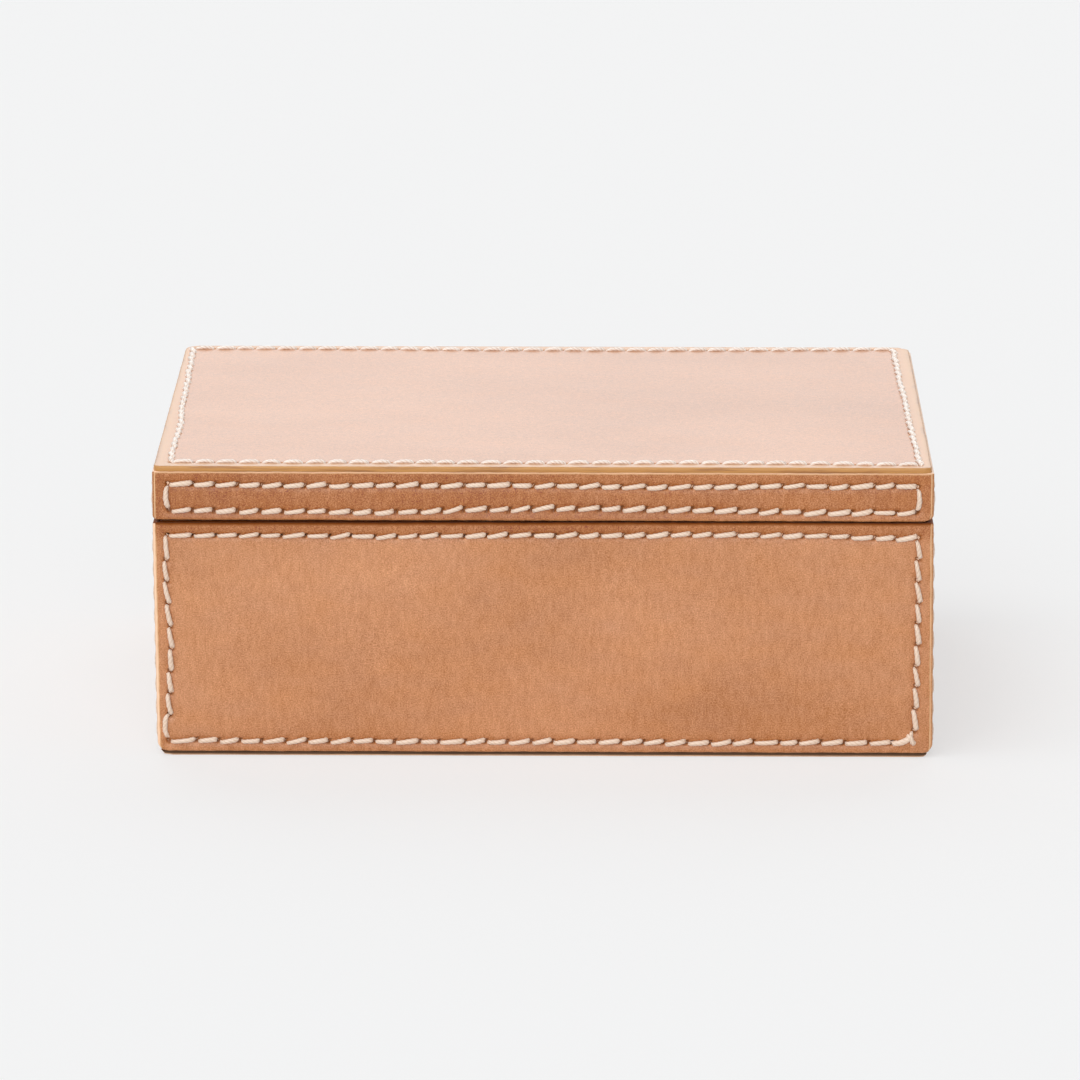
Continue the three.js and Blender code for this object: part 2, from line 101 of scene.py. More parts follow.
# The top's thread, painted lighter for the light that the top catches
THREAD_TOP_LIGHT = shade("FDF3EA")
SUEDE_SAND = shade("D3B28C")
SUEDE_BROWN = shade("B38D66")
BOARD_BROWN = shade("8A6546")
BOARD_DARK = shade("5E4029")
BRASS_BRIGHT = (0.72, 0.50, 0.22, 1.0)
BRASS_DULL = (0.42, 0.27, 0.11, 1.0)
WHITE = (1.0, 1.0, 1.0, 1.0)
BLACK = (0.0, 0.0, 0.0, 1.0)
FLOOR_WHITE = shade("F3F3F3")
FLOOR_SHADED = (0.38, 0.38, 0.38, 1.0)
FLOOR_GLOW = (0.5425, 0.5465, 0.5495, 1.0)

# A step of grey in the leather, in linear light, and a step towards red
GREY_STEP = (1.0, 0.625, 0.413)
RED_STEP = (0.05, 0.0, -0.03)

# How far in from its edge a panel's verge begins, and how wide the painted shade on a rim's outer faces is
VERGE_WIDTH = 1.0
RIM_SHADE_WIDTH = 1.2


# Shader building
def fill(tree, node, **inputs):
    """Fills a node's inputs with values or with other nodes' outputs. An input goes by its name, with
    underscores for spaces, or by its number, such as i0."""
    for name, value in inputs.items():
        numbered = name[0] == "i" and name[1:].isdigit()
        socket = node.inputs[int(name[1:]) if numbered else name.replace("_", " ")]
        if isinstance(value, bpy.types.NodeSocket):
            tree.links.new(value, socket)
        else:
            socket.default_value = value


def place(tree, kind, settings=None, **inputs):
    """Adds a node, sets its properties and fills its inputs."""
    added = tree.nodes.new(kind)
    for name, value in (settings or {}).items():
        setattr(added, name, value)
    fill(tree, added, **inputs)
    return added


def maths(tree, operation, first, second=0.0, clamp=False):
    settings = {"operation": operation, "use_clamp": clamp}
    return place(tree, "ShaderNodeMath", settings, i0=first, i1=second).outputs[0]


def product(tree, first, *others):
    """Values multiplied together."""
    for other in others:
        first = maths(tree, "MULTIPLY", first, other)
    return first


def summed(tree, start, *terms):
    """A start value plus further values, each times its weight."""
    settings = {"operation": "MULTIPLY_ADD"}
    for value, weight in terms:
        start = place(tree, "ShaderNodeMath", settings, i0=value, i1=weight, i2=start).outputs[0]
    return start


def blend(tree, share, first, second):
    """Two colours mixed by a share."""
    return place(tree, "ShaderNodeMix", {"data_type": "RGBA"}, i0=share, i6=first, i7=second).outputs[2]


def stepped(tree, amount, step, colour):
    """A colour moved on by an amount of a step: the amount times the step plus the colour."""
    amounts = place(tree, "ShaderNodeCombineXYZ", X=amount, Y=amount, Z=amount).outputs[0]
    settings = {"operation": "MULTIPLY_ADD"}
    return place(tree, "ShaderNodeVectorMath", settings, i0=amounts, i1=step, i2=colour).outputs[0]


def spread(tree, value, low, high, to_low=0.0, to_high=1.0):
    """A value carried smoothly from one range to another and kept within it."""
    return place(tree, "ShaderNodeMapRange", {"interpolation_type": "SMOOTHSTEP"}, Value=value, From_Min=low,
                 From_Max=high, To_Min=to_low, To_Max=to_high).outputs[0]


def noise(tree, vector, scale, detail=2.0, roughness=0.5):
    inputs = {"Vector": vector, "Scale": scale, "Detail": detail, "Roughness": roughness}
    return place(tree, "ShaderNodeTexNoise", **inputs).outputs["Fac"]


def swing(tree, vector, scale, detail=2.0, roughness=0.5):
    """Noise that swings round zero."""
    return maths(tree, "SUBTRACT", noise(tree, vector, scale, detail, roughness), 0.5)


def turned(tree, vector, scale=(1, 1, 1), turn=(0, 0, 0)):
    """A vector stretched and turned, so that a pattern on it runs one way."""
    return place(tree, "ShaderNodeMapping", Vector=vector, Scale=scale, Rotation=turn).outputs[0]


def effect(name, inputs, outputs):
    """An empty node group with named inputs, each given as its socket type and default, and named outputs.
    Beside the group it gives the outputs of its input node, and its output node."""
    group = bpy.data.node_groups.new(name, "ShaderNodeTree")
    for label, (kind, value) in inputs.items():
        socket = group.interface.new_socket(label, in_out="INPUT", socket_type=kind)
        if value is not None:
            socket.default_value = value
    for label, kind in outputs.items():
        group.interface.new_socket(label, in_out="OUTPUT", socket_type=kind)
    return group, group.nodes.new("NodeGroupInput").outputs, group.nodes.new("NodeGroupOutput")


def use(tree, group, **inputs):
    """A node group placed in a material with its own values."""
    return place(tree, "ShaderNodeGroup", {"node_tree": group}, **inputs).outputs


FLOAT, COLOUR, VECTOR = "NodeSocketFloat", "NodeSocketColor", "NodeSocketVector"

# The hide's clouds, red flushes, wrinkles, pores and specks, in copies to a metre, and which way they run
CLOUD_SCALE = 24
FLUSH_SCALE = 130
WRINKLE_SCALE = 760
PORE_SCALE = 2700
SPECK_SCALE = 75
CLOUD_STRETCH = (0.55, 1, 1.25)
CLOUD_TURN = (0, math.radians(28), 0)
WRINKLE_STRETCH = (1, 1, 0.4)
WRINKLE_TURN = (0, math.radians(40), 0)
# How much a wrinkle counts beside a pore, and how much coarser both are in deep tan
WRINKLE_WEIGHT = 0.28
DEEP_COARSENESS = 0.2
# A speck's inner and outer radius in its cell, the share of cells that have one, and how dark it is
SPECK_RADII = (0.012, 0.05)
SPECKED_SHARE = 0.045
SPECK_DARKNESS = 0.7


def hide_colour_group():
    """Leather's colour: pale or deep tan by a shade, made lighter and darker by soft clouds, short diagonal
    wrinkles and fine pores, all in steps of grey, flushed with red in places, and a few small dark specks."""
    inputs = {
        "Vector": (VECTOR, None), "Pale": (COLOUR, None), "Deep": (COLOUR, None), "Shade": (FLOAT, 0.0),
        "Tone": (FLOAT, 0.0), "Grain": (FLOAT, 0.5), "Clouds": (FLOAT, 0.15),
    }
    group, given, made = effect("hide colour", inputs, {"Color": COLOUR, "Pores": FLOAT})
    vector = given["Vector"]
    drift = turned(group, vector, CLOUD_STRETCH, CLOUD_TURN)
    slant = turned(group, vector, WRINKLE_STRETCH, WRINKLE_TURN)
    clouds = swing(group, drift, CLOUD_SCALE, 3)
    flush = swing(group, drift, FLUSH_SCALE, 3)
    wrinkles = swing(group, slant, WRINKLE_SCALE, 3, 0.6)
    pores = noise(group, vector, PORE_SCALE, 3, 0.7)
    fine = summed(group, maths(group, "SUBTRACT", pores, 0.5), (wrinkles, WRINKLE_WEIGHT))
    coarse = summed(group, 1.0, (given["Shade"], DEEP_COARSENESS))
    grain = product(group, fine, given["Grain"], coarse)
    # Painted light and shade from broad patches
    lighter = summed(group, grain, (clouds, given["Clouds"]), (given["Tone"], -1.0))
    tan = blend(group, given["Shade"], given["Pale"], given["Deep"])
    mottled = stepped(group, flush, RED_STEP, stepped(group, lighter, GREY_STEP, tan))
    cells = place(group, "ShaderNodeTexVoronoi", Vector=vector, Scale=SPECK_SCALE, Randomness=1.0).outputs
    lot = place(group, "ShaderNodeSeparateColor", Color=cells["Color"]).outputs[0]
    dot = spread(group, cells["Distance"], *SPECK_RADII, 1.0, 0.0)
    speck = product(group, dot, maths(group, "LESS_THAN", lot, SPECKED_SHARE), SPECK_DARKNESS)
    fill(group, made, Color=blend(group, speck, mottled, EDGE_BROWN), Pores=pores)
    return group


# The hide's relief, in copies to a metre, and how high its pores and swells stand beside its creases
RELIEF_PORE_SCALE = 1900
CREASE_SCALE = 520
CREASE_STRETCH = (1, 1, 0.35)
SWELL_SCALE = 60
PORE_HEIGHT = 0.4
SWELL_HEIGHT = 2.2


def hide_relief_group():
    """Leather's surface: fine pores, shallow creases that run one way, and the broad unevenness of a hide."""
    inputs = {"Vector": (VECTOR, None), "Creases": (FLOAT, 0.5)}
    group, given, made = effect("hide relief", inputs, {"Height": FLOAT})
    vector = given["Vector"]
    pores = noise(group, vector, RELIEF_PORE_SCALE, 2, 0.6)
    creases = noise(group, turned(group, vector, CREASE_STRETCH, WRINKLE_TURN), CREASE_SCALE, 3, 0.55)
    swells = noise(group, vector, SWELL_SCALE, 2)
    height = summed(group, 0.0, (pores, PORE_HEIGHT), (swells, SWELL_HEIGHT), (creases, given["Creases"]))
    fill(group, made, Height=height)
    return group


# How far in from a panel's edge its cut face, its painted highlight line's rise and fall, and its gloss begin
# and end
CUT_INSETS = (0.3, 0.0)
HIGHLIGHT_RISE_INSETS = (0.55, 0.35)
HIGHLIGHT_FALL_INSETS = (0.3, 0.1)
GLOSS_INSETS = (0.12, 0.0)
# How fast layers change across an edge and along it, and how many patches there are to a metre
LAYER_SCALE = 2.1
STREAK_SCALE = 60
PATCH_SCALE = 90
# How brown a peach edge's streaks are, how waxed a peach verge is, and how much more so a golden one
PEACH_BROWN = 0.45
PEACH_WAX = 0.55
GOLD_WAX = 0.35


def nearing(tree, verge, insets, to_low=0.0, to_high=1.0):
    """A share that changes towards a panel's edge, from one distance in from it to another."""
    return spread(tree, verge, VERGE_WIDTH - insets[0], VERGE_WIDTH - insets[1], to_low, to_high)


def burnish_group():
    """A panel's verge: the cut edge rubbed with wax, golden or peach, with brown streaks along it where its
    layers show. The peach is partly the cut's own pale colour and partly a painted highlight. A thin pale
    line just inside the cut is a painted highlight, and painted shade darkens a verge in the parting between
    lid and base and under the box's foot."""
    inputs = {
        "Vector": (VECTOR, None), "Color": (COLOUR, None), "Verge": (FLOAT, 0.0), "Ridge": (FLOAT, 0.0),
        "Stain": (FLOAT, 0.0), "Gold": (FLOAT, 0.0),
    }
    group, given, made = effect("burnished edge", inputs, {"Color": COLOUR, "Gloss": FLOAT})
    vector, verge, gold = given["Vector"], given["Verge"], given["Gold"]
    layer = place(group, "ShaderNodeCombineXYZ", Z=product(group, verge, LAYER_SCALE)).outputs[0]
    along = turned(group, vector, (STREAK_SCALE, STREAK_SCALE, STREAK_SCALE))
    layers = place(group, "ShaderNodeVectorMath", {"operation": "ADD"}, i0=layer, i1=along).outputs[0]
    streaks = noise(group, layers, 1, 3, 0.6)
    patches = noise(group, vector, PATCH_SCALE, 3)
    brown = product(group, spread(group, streaks, 0.45, 0.65), spread(group, patches, 0.3, 0.6, 0.35, 0.9))
    golden = blend(group, brown, EDGE_GOLD, EDGE_BROWN)
    peach = blend(group, product(group, brown, PEACH_BROWN), EDGE_PEACH_HIGHLIGHT, EDGE_GOLD)
    wax = summed(group, PEACH_WAX, (gold, GOLD_WAX))
    waxed = product(group, nearing(group, verge, (VERGE_WIDTH, 0.0)), wax)
    edged = blend(group, waxed, given["Color"], blend(group, gold, EDGE_GOLD, EDGE_HONEY))
    edged = blend(group, nearing(group, verge, CUT_INSETS), edged, blend(group, gold, peach, golden))
    # A painted highlight: a thin pale line just inside the cut
    rising = nearing(group, verge, HIGHLIGHT_RISE_INSETS)
    falling = nearing(group, verge, HIGHLIGHT_FALL_INSETS, 1.0, 0.0)
    ridge = product(group, rising, falling, given["Ridge"], spread(group, patches, 0.25, 0.6, 0.45, 1.0))
    edged = blend(group, ridge, edged, EDGE_HIGHLIGHT)
    # Painted shade in the parting, or under the box's foot
    stain = blend(group, maths(group, "MULTIPLY", gold, 2.0, clamp=True), PARTING_SHADE, FOOT_GAP_SHADE)
    colour = blend(group, given["Stain"], edged, stain)
    fill(group, made, Color=colour, Gloss=nearing(group, verge, GLOSS_INSETS))
    return group


def new_material(name):
    """A material with its node tree, its surface and the place on the object that patterns read."""
    material = bpy.data.materials.new(name)
    material.use_nodes = True
    tree = material.node_tree
    vector = tree.nodes.new("ShaderNodeTexCoord").outputs["Object"]
    return material, tree, tree.nodes["Principled BSDF"], vector


def mask(tree, name):
    """A number that the mesh carries at each of its points."""
    return place(tree, "ShaderNodeAttribute", {"attribute_name": name}).outputs["Fac"]


def bump(tree, surface, height, strength, distance):
    """Relief of a given strength and height in millimetres."""
    relief = place(tree, "ShaderNodeBump", Strength=strength, Distance=distance * MM, Height=height)
    fill(tree, surface, Normal=relief.outputs[0])


def outer_band(tree, vector, half_u, half_v):
    """Painted shade along a rim's outer faces, which lie in the parting, from how near a place is to the
    rim's half width or half depth.
    """
    axes = place(tree, "ShaderNodeSeparateXYZ", Vector=vector).outputs
    bands = []
    for axis, half in zip(axes, (half_u, half_v)):
        low, high = half - RIM_SHADE_WIDTH, half - RIM_SHADE_WIDTH / 2
        bands.append(spread(tree, maths(tree, "ABSOLUTE", axis), low * MM, high * MM))
    return maths(tree, "MAXIMUM", *bands)


# How far the border, the drawn-in leather and the awl's slits go towards their darker colours. The slits'
# dark is painted shade in the holes, and at the base's foot the border is painted shade.
BORDER_SHADE = 0.92
PRESS_SHADE = 0.3
AWL_SHADE = 0.52
# The leather's roughness from pore to pore, and how wax and the painted gap shade change it
HIDE_ROUGHNESS = (0.46, 0.58)
WAX_SMOOTHNESS = 0.1
GAP_SHADE_ROUGHNESS = 0.3
# The leather's finish, and how much of it wax and the painted gap shade take away
LEATHER_COAT = 0.92
WAX_DULLING = 0.75
GAP_SHADE_DULLING = 0.9


def leather_material(name, hide_colour, hide_relief, burnish, rim=None):
    """The panels' leather, darker outside the stitch rows and waxed on its cut edges, with painted shade in
    the awl's slits, in the parting and at the base's foot, painted light and shade in broad patches, and
    painted highlights along its cut edges. On a rim of a given half width and half depth the outer faces,
    which lie in the parting, are painted with shade."""
    material, tree, surface, vector = new_material(name)
    stain = outer_band(tree, vector, *rim) if rim else mask(tree, "stain")
    # The darker border: the hide's deeper tan, and painted shade at the base's foot
    shaded = product(tree, mask(tree, "border"), BORDER_SHADE)
    hide = use(tree, hide_colour, Vector=vector, Pale=LEATHER_PALE, Deep=LEATHER_DEEP, Shade=shaded,
               Tone=mask(tree, "tone"), Grain=0.84, Clouds=0.25)
    colour = blend(tree, product(tree, mask(tree, "press"), PRESS_SHADE), hide["Color"], LEATHER_DEEP)
    waxed = use(tree, burnish, Vector=vector, Color=colour, Verge=mask(tree, "verge"),
                Ridge=mask(tree, "ridge"), Stain=stain, Gold=mask(tree, "gold"))
    # Painted shade in the awl's slits
    colour = blend(tree, product(tree, mask(tree, "awl"), AWL_SHADE), waxed["Color"], SLIT_PAINTED_SHADE)
    pored = spread(tree, hide["Pores"], 0.3, 0.7, *HIDE_ROUGHNESS)
    rough = summed(tree, pored, (waxed["Gloss"], -WAX_SMOOTHNESS), (stain, GAP_SHADE_ROUGHNESS))
    dulled = summed(tree, 0.0, (stain, GAP_SHADE_DULLING), (waxed["Gloss"], WAX_DULLING))
    coat = maths(tree, "SUBTRACT", LEATHER_COAT, dulled, clamp=True)
    fill(tree, surface, Base_Color=colour, Roughness=rough,
         Specular_Tint=blend(tree, stain, WHITE, GAP_SHADE_GLOSS), Specular_IOR_Level=0.1 if rim else 0.5,
         Coat_Weight=coat, Coat_Roughness=0.28, Coat_IOR=1.35, Sheen_Weight=0.07, Sheen_Roughness=0.4)
    bump(tree, surface, use(tree, hide_relief, Vector=vector, Creases=0.5)["Height"], 0.7, 0.12)
    return material


# Fibres along the thread, in copies to a unit of its UV, and patches of soil, in copies to a metre
FIBRE_STRETCH = (26, 1.6, 1)
FIBRE_SCALE = 3.0
SOIL_SCALE = 260
# How dark the valleys between plies, where shade is painted, and the fibres are, and how high plies and
# fibres stand
VALLEY_PAINTED_SHADE = 0.5
FIBRE_DARKNESS = 0.25
PLY_HEIGHT = 0.5
FIBRE_HEIGHT = 0.5


def thread_material(name, cream):
    """Waxed linen: three plies that wind round the thread, with painted shade where they meet, with fine
    fibres along them and soiled in patches."""
    material, tree, surface, vector = new_material(name)
    uv = place(tree, "ShaderNodeUVMap", {"uv_map": "lay"}).outputs[0]
    lay = place(tree, "ShaderNodeSeparateXYZ", Vector=uv).outputs
    wound = maths(tree, "SUBTRACT", lay[0], lay[1])
    ply = maths(tree, "COSINE", product(tree, wound, 2 * math.pi * THREAD_PLIES))
    fibres = noise(tree, turned(tree, uv, FIBRE_STRETCH), FIBRE_SCALE, 3, 0.6)
    soil = spread(tree, noise(tree, vector, SOIL_SCALE, 2), 0.3, 0.7, 0.5, 1.0)
    valley = spread(tree, ply, -1.0, 0.2, 1.0, 0.0)
    dark = product(tree, summed(tree, 0.0, (valley, VALLEY_PAINTED_SHADE), (fibres, FIBRE_DARKNESS)), soil)
    fill(tree, surface, Base_Color=blend(tree, dark, cream, THREAD_SHADE), Roughness=0.62, Sheen_Weight=1.0,
         Sheen_Roughness=0.3, Coat_Weight=1.0, Coat_Roughness=0.28)
    bump(tree, surface, summed(tree, 0.0, (ply, PLY_HEIGHT), (fibres, FIBRE_HEIGHT)), 0.6, 0.12)
    return material


# The nap, the brushed patches, the board's flecks and the brass's scratches and tarnish, in copies to a metre
NAP_SCALE = 1500
BRUSHED_SCALE = 55
FLECK_SCALE = 900
SCRATCH_SCALE = 5200
TARNISH_SCALE = 420


def suede_material():
    """The lining: a short soft nap, brushed in patches."""
    material, tree, surface, vector = new_material("suede")
    nap = noise(tree, vector, NAP_SCALE, 4, 0.75)
    brushed = noise(tree, turned(tree, vector, (1, 0.6, 1.3)), BRUSHED_SCALE, 4, 0.6)
    brown = spread(tree, summed(tree, 0.0, (nap, 0.85), (brushed, 0.22)), 0.3, 0.75)
    fill(tree, surface, Base_Color=blend(tree, brown, SUEDE_SAND, SUEDE_BROWN), Roughness=0.95,
         Specular_IOR_Level=0.2, Sheen_Weight=0.5)
    bump(tree, surface, nap, 0.5, 0.2)
    return material


def board_material():
    """Pressed fibre board with short flecks."""
    material, tree, surface, vector = new_material("fibre board")
    flecks = noise(tree, turned(tree, vector, (0.3, 0.3, 1)), FLECK_SCALE, 4, 0.65)
    dark = spread(tree, flecks, 0.35, 0.65)
    fill(tree, surface, Base_Color=blend(tree, dark, BOARD_BROWN, BOARD_DARK), Roughness=0.9)
    bump(tree, surface, flecks, 0.4, 0.1)
    return material


def brass_material():
    """Brushed brass, duller and browner in patches and along fine scratches."""
    material, tree, surface, vector = new_material("brushed brass")
    scratches = noise(tree, turned(tree, vector, (0.04, 1, 1)), SCRATCH_SCALE, 3, 0.6)
    tarnish = noise(tree, vector, TARNISH_SCALE, 4, 0.6)
    dull = product(tree, spread(tree, tarnish, 0.42, 0.7), 0.7)
    rough = summed(tree, spread(tree, scratches, 0.3, 0.7, 0.2, 0.38), (dull, 0.2))
    fill(tree, surface, Base_Color=blend(tree, dull, BRASS_BRIGHT, BRASS_DULL), Roughness=rough, Metallic=1.0)
    bump(tree, surface, scratches, 0.15, 0.05)
    return material


# Meshes
def mesh_piece(name, points, faces, material, masks=None, uv=None):
    """A smooth mesh object from an array of points in millimetres, with numbers carried at its points."""
    mesh = bpy.data.meshes.new(name)
    mesh.from_pydata(points.reshape(-1, 3) * MM, [], faces)
    mesh.shade_smooth()
    for label, values in (masks or {}).items():
        layer = mesh.attributes.new(label, "FLOAT", "POINT")
        layer.data.foreach_set("value", values.ravel().astype(np.float32))
    if uv is not None:
        mesh.uv_layers.new(name="lay").data.foreach_set("uv", uv.ravel().astype(np.float32))
    mesh.materials.append(material)
    piece = bpy.data.objects.new(name, mesh)
    bpy.context.scene.collection.objects.link(piece)
    return piece


def wear(piece, body, slot, *nodes):
    """The piece rides on a body and stands for CAD nodes, which are hidden. The slot is not used."""
    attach(piece, body)
    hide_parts(*nodes)


def smoothstep(value, low, high):
    share = np.clip((value - low) / (high - low), 0, 1)
    return share * share * (3 - 2 * share)


def bell(distance, width):
    return np.exp(-(distance / width) ** 2)


# Each face of the box has axes along it, up it and out of it
FACES = {
    "front": ((1, 0, 0), (0, 0, 1), (0, -1, 0)),
    "right": ((0, 1, 0), (0, 0, 1), (1, 0, 0)),
    "back": ((-1, 0, 0), (0, 0, 1), (0, 1, 0)),
    "left": ((0, -1, 0), (0, 0, 1), (-1, 0, 0)),
    "top": ((1, 0, 0), (0, 1, 0), (0, 0, 1)),
    "underside": ((1, 0, 0), (0, -1, 0), (0, 0, -1)),
}


def spans(node, side):
    """A node's lowest and highest place along each of a face's three axes, in millimetres."""
    along = np.array(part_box(node)) @ np.array(FACES[side], float).T / MM
    return along.min(0), along.max(0)


# Leather panels: how round their edges are on the face and on the flesh side, and how fine their grids
EDGE_ROUND = 0.45
FLESH_ROUND = 0.15
EDGE_STEPS = 4
LINE_LEAST_STEP = 0.1
# Where grid lines lie beside a row of stitches and beside a hole
ROW_LINES = np.array([-2.3, -1.55, -1.05, -0.78, -0.45, 0, 0.45, 0.78, 1.05, 1.55, 2.3])
HOLE_LINES = np.array([-1.7, -0.85, -0.36, -0.14, 0.14, 0.36, 0.85, 1.7, 2.9])

# Stitching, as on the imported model
STITCH_PITCH = 5.8
THREAD_REACH = 0.75
# The awl's slits, and the leather that the thread draws in along a row and round each hole
SLIT_SLANT = math.tan(math.radians(30))
SLIT_HALF_LENGTH = 0.7
SLIT_HALF_WIDTH = 0.36
SLIT_LENGTH_FADE = (SLIT_HALF_LENGTH * 0.8, SLIT_HALF_LENGTH * 1.15)
SLIT_WIDTH_FADE = (SLIT_HALF_WIDTH * 0.6, SLIT_HALF_WIDTH * 1.5)
SLIT_DEPTH = 0.65
CHANNEL_DEPTH = 0.22
CHANNEL_WIDTH = 1.15
PUCKER_DEPTH = 0.3
PUCKER_LENGTH = 1.1
# How far holes slip along a row and rows stray sideways, by a smooth drift and a little jitter
HOLE_SLIP = 0.3
ROW_WANDER = 0.22
DRIFT_WINDOW = np.ones(5) / 5
DRIFT_ENDS = 3
DRIFT_SHARE = 1.6
JITTER_SHARE = 0.3
# How far beside a row its lean and strays are felt, and where they fade at its ends and the panel's edge
LEAN_REACH = 1.7
WANDER_REACH = 2.6
ROW_END_FADE = (0.2, 2.0)
PANEL_EDGE_FADE = (0.2, 3.0)


# How far each seam's corners lie from where the model has them: left foot, left top, right foot, right top
STRAIGHT = ((0, 0), (0, 0), (0, 0), (0, 0))
CORNER_MOVES = {
    "base_front": ((-0.9, 0.2), (-0.9, 0.6), (1.1, 0.0), (1.45, 0.6)),
    "lid_front": ((-0.95, 0.3), (-0.95, 0.8), (1.4, 0.25), (1.4, 0.65)),
    "lid_top": ((1.1, 1.6), (-0.8, -1.3), (0.2, 0.2), (-1.4, -0.2)),
}

# How far rows bend away from a straight line, evenly spaced from left to right or from foot to top. Rows
# are (0, 0) at the foot, (0, 1) at the top, (1, 0) on the left and (1, 1) on the right.
ROW_BENDS = {
    "base_front": {
        (0, 1): (0, 0.1, 0.2, 0.23, 0.6, 0.6, 0.75, 0.6, 0.15),
        (1, 0): (-1.5, -0.77, -0.69, -0.25, -0.4, -1.0, -1.1, -0.55),
        (1, 1): (-0.3, -0.1, -0.05, 0.1, 0.2, 0.25, 0, 0.1),
    },
    "lid_front": {
        (0, 0): (0, -0.1, -0.1, -0.35, 0.6, 1.3, 1.2, 0.95, 0.2, -0.1, 0.05),
        (0, 1): (0, 0, -0.1, -0.1, -0.1, -0.2, -0.1, -0.1, -0.05, -0.2, 0),
    },
    "lid_top": {
        (0, 0): (0, 0.3, 0.5, 0.9, 1.1, 1.1, 1.0, 1.0, 0),
        (0, 1): (0.3, 0, -0.1, -0.6, -1.1, -1.1, -0.8, -0.4, 0),
    },
}

# Rows that stop short of their seam's corners: by how much at the low end and the high end, and how many
# stitches they have fewer
ROW_TRIMS = {"base_front": {(1, 1): (3.3, 0, 0), (0, 0): (0, 6.7, 1), (1, 0): (6.6, 0, 1)}}

# Odd stitches drawn from place to place near a seam's left or right foot corner, with sideways bow and girth
ODD_STITCHES = {
    "base_front": (
        ("right", (-7.2, -0.3), (-0.1, 2.7), -0.5, 1.2), ("right", (-2.9, 2.3), (0.6, -0.6), 0.1, 1.15),
        ("left", (-0.2, 7.2), (0.2, 0.2), -1.1, 1.05),
    ),
}

# Broad patches of painted light and shade, darker towards the right and lighter at the left as light from the
# left falls, in a panel's axes: place, half width, half height and strength
LIGHT_AND_SHADE_PATCHES = {
    "base_front": (((58, 10), 52, 13, 0.05), ((-4, 42), 16, 26, 0.022), ((-88, 34), 26, 30, -0.02)),
    "lid_top": (((55, -5), 75, 42, 0.04), ((-20, 5), 40, 30, 0.012), ((-95, -60), 45, 60, -0.03)),
}


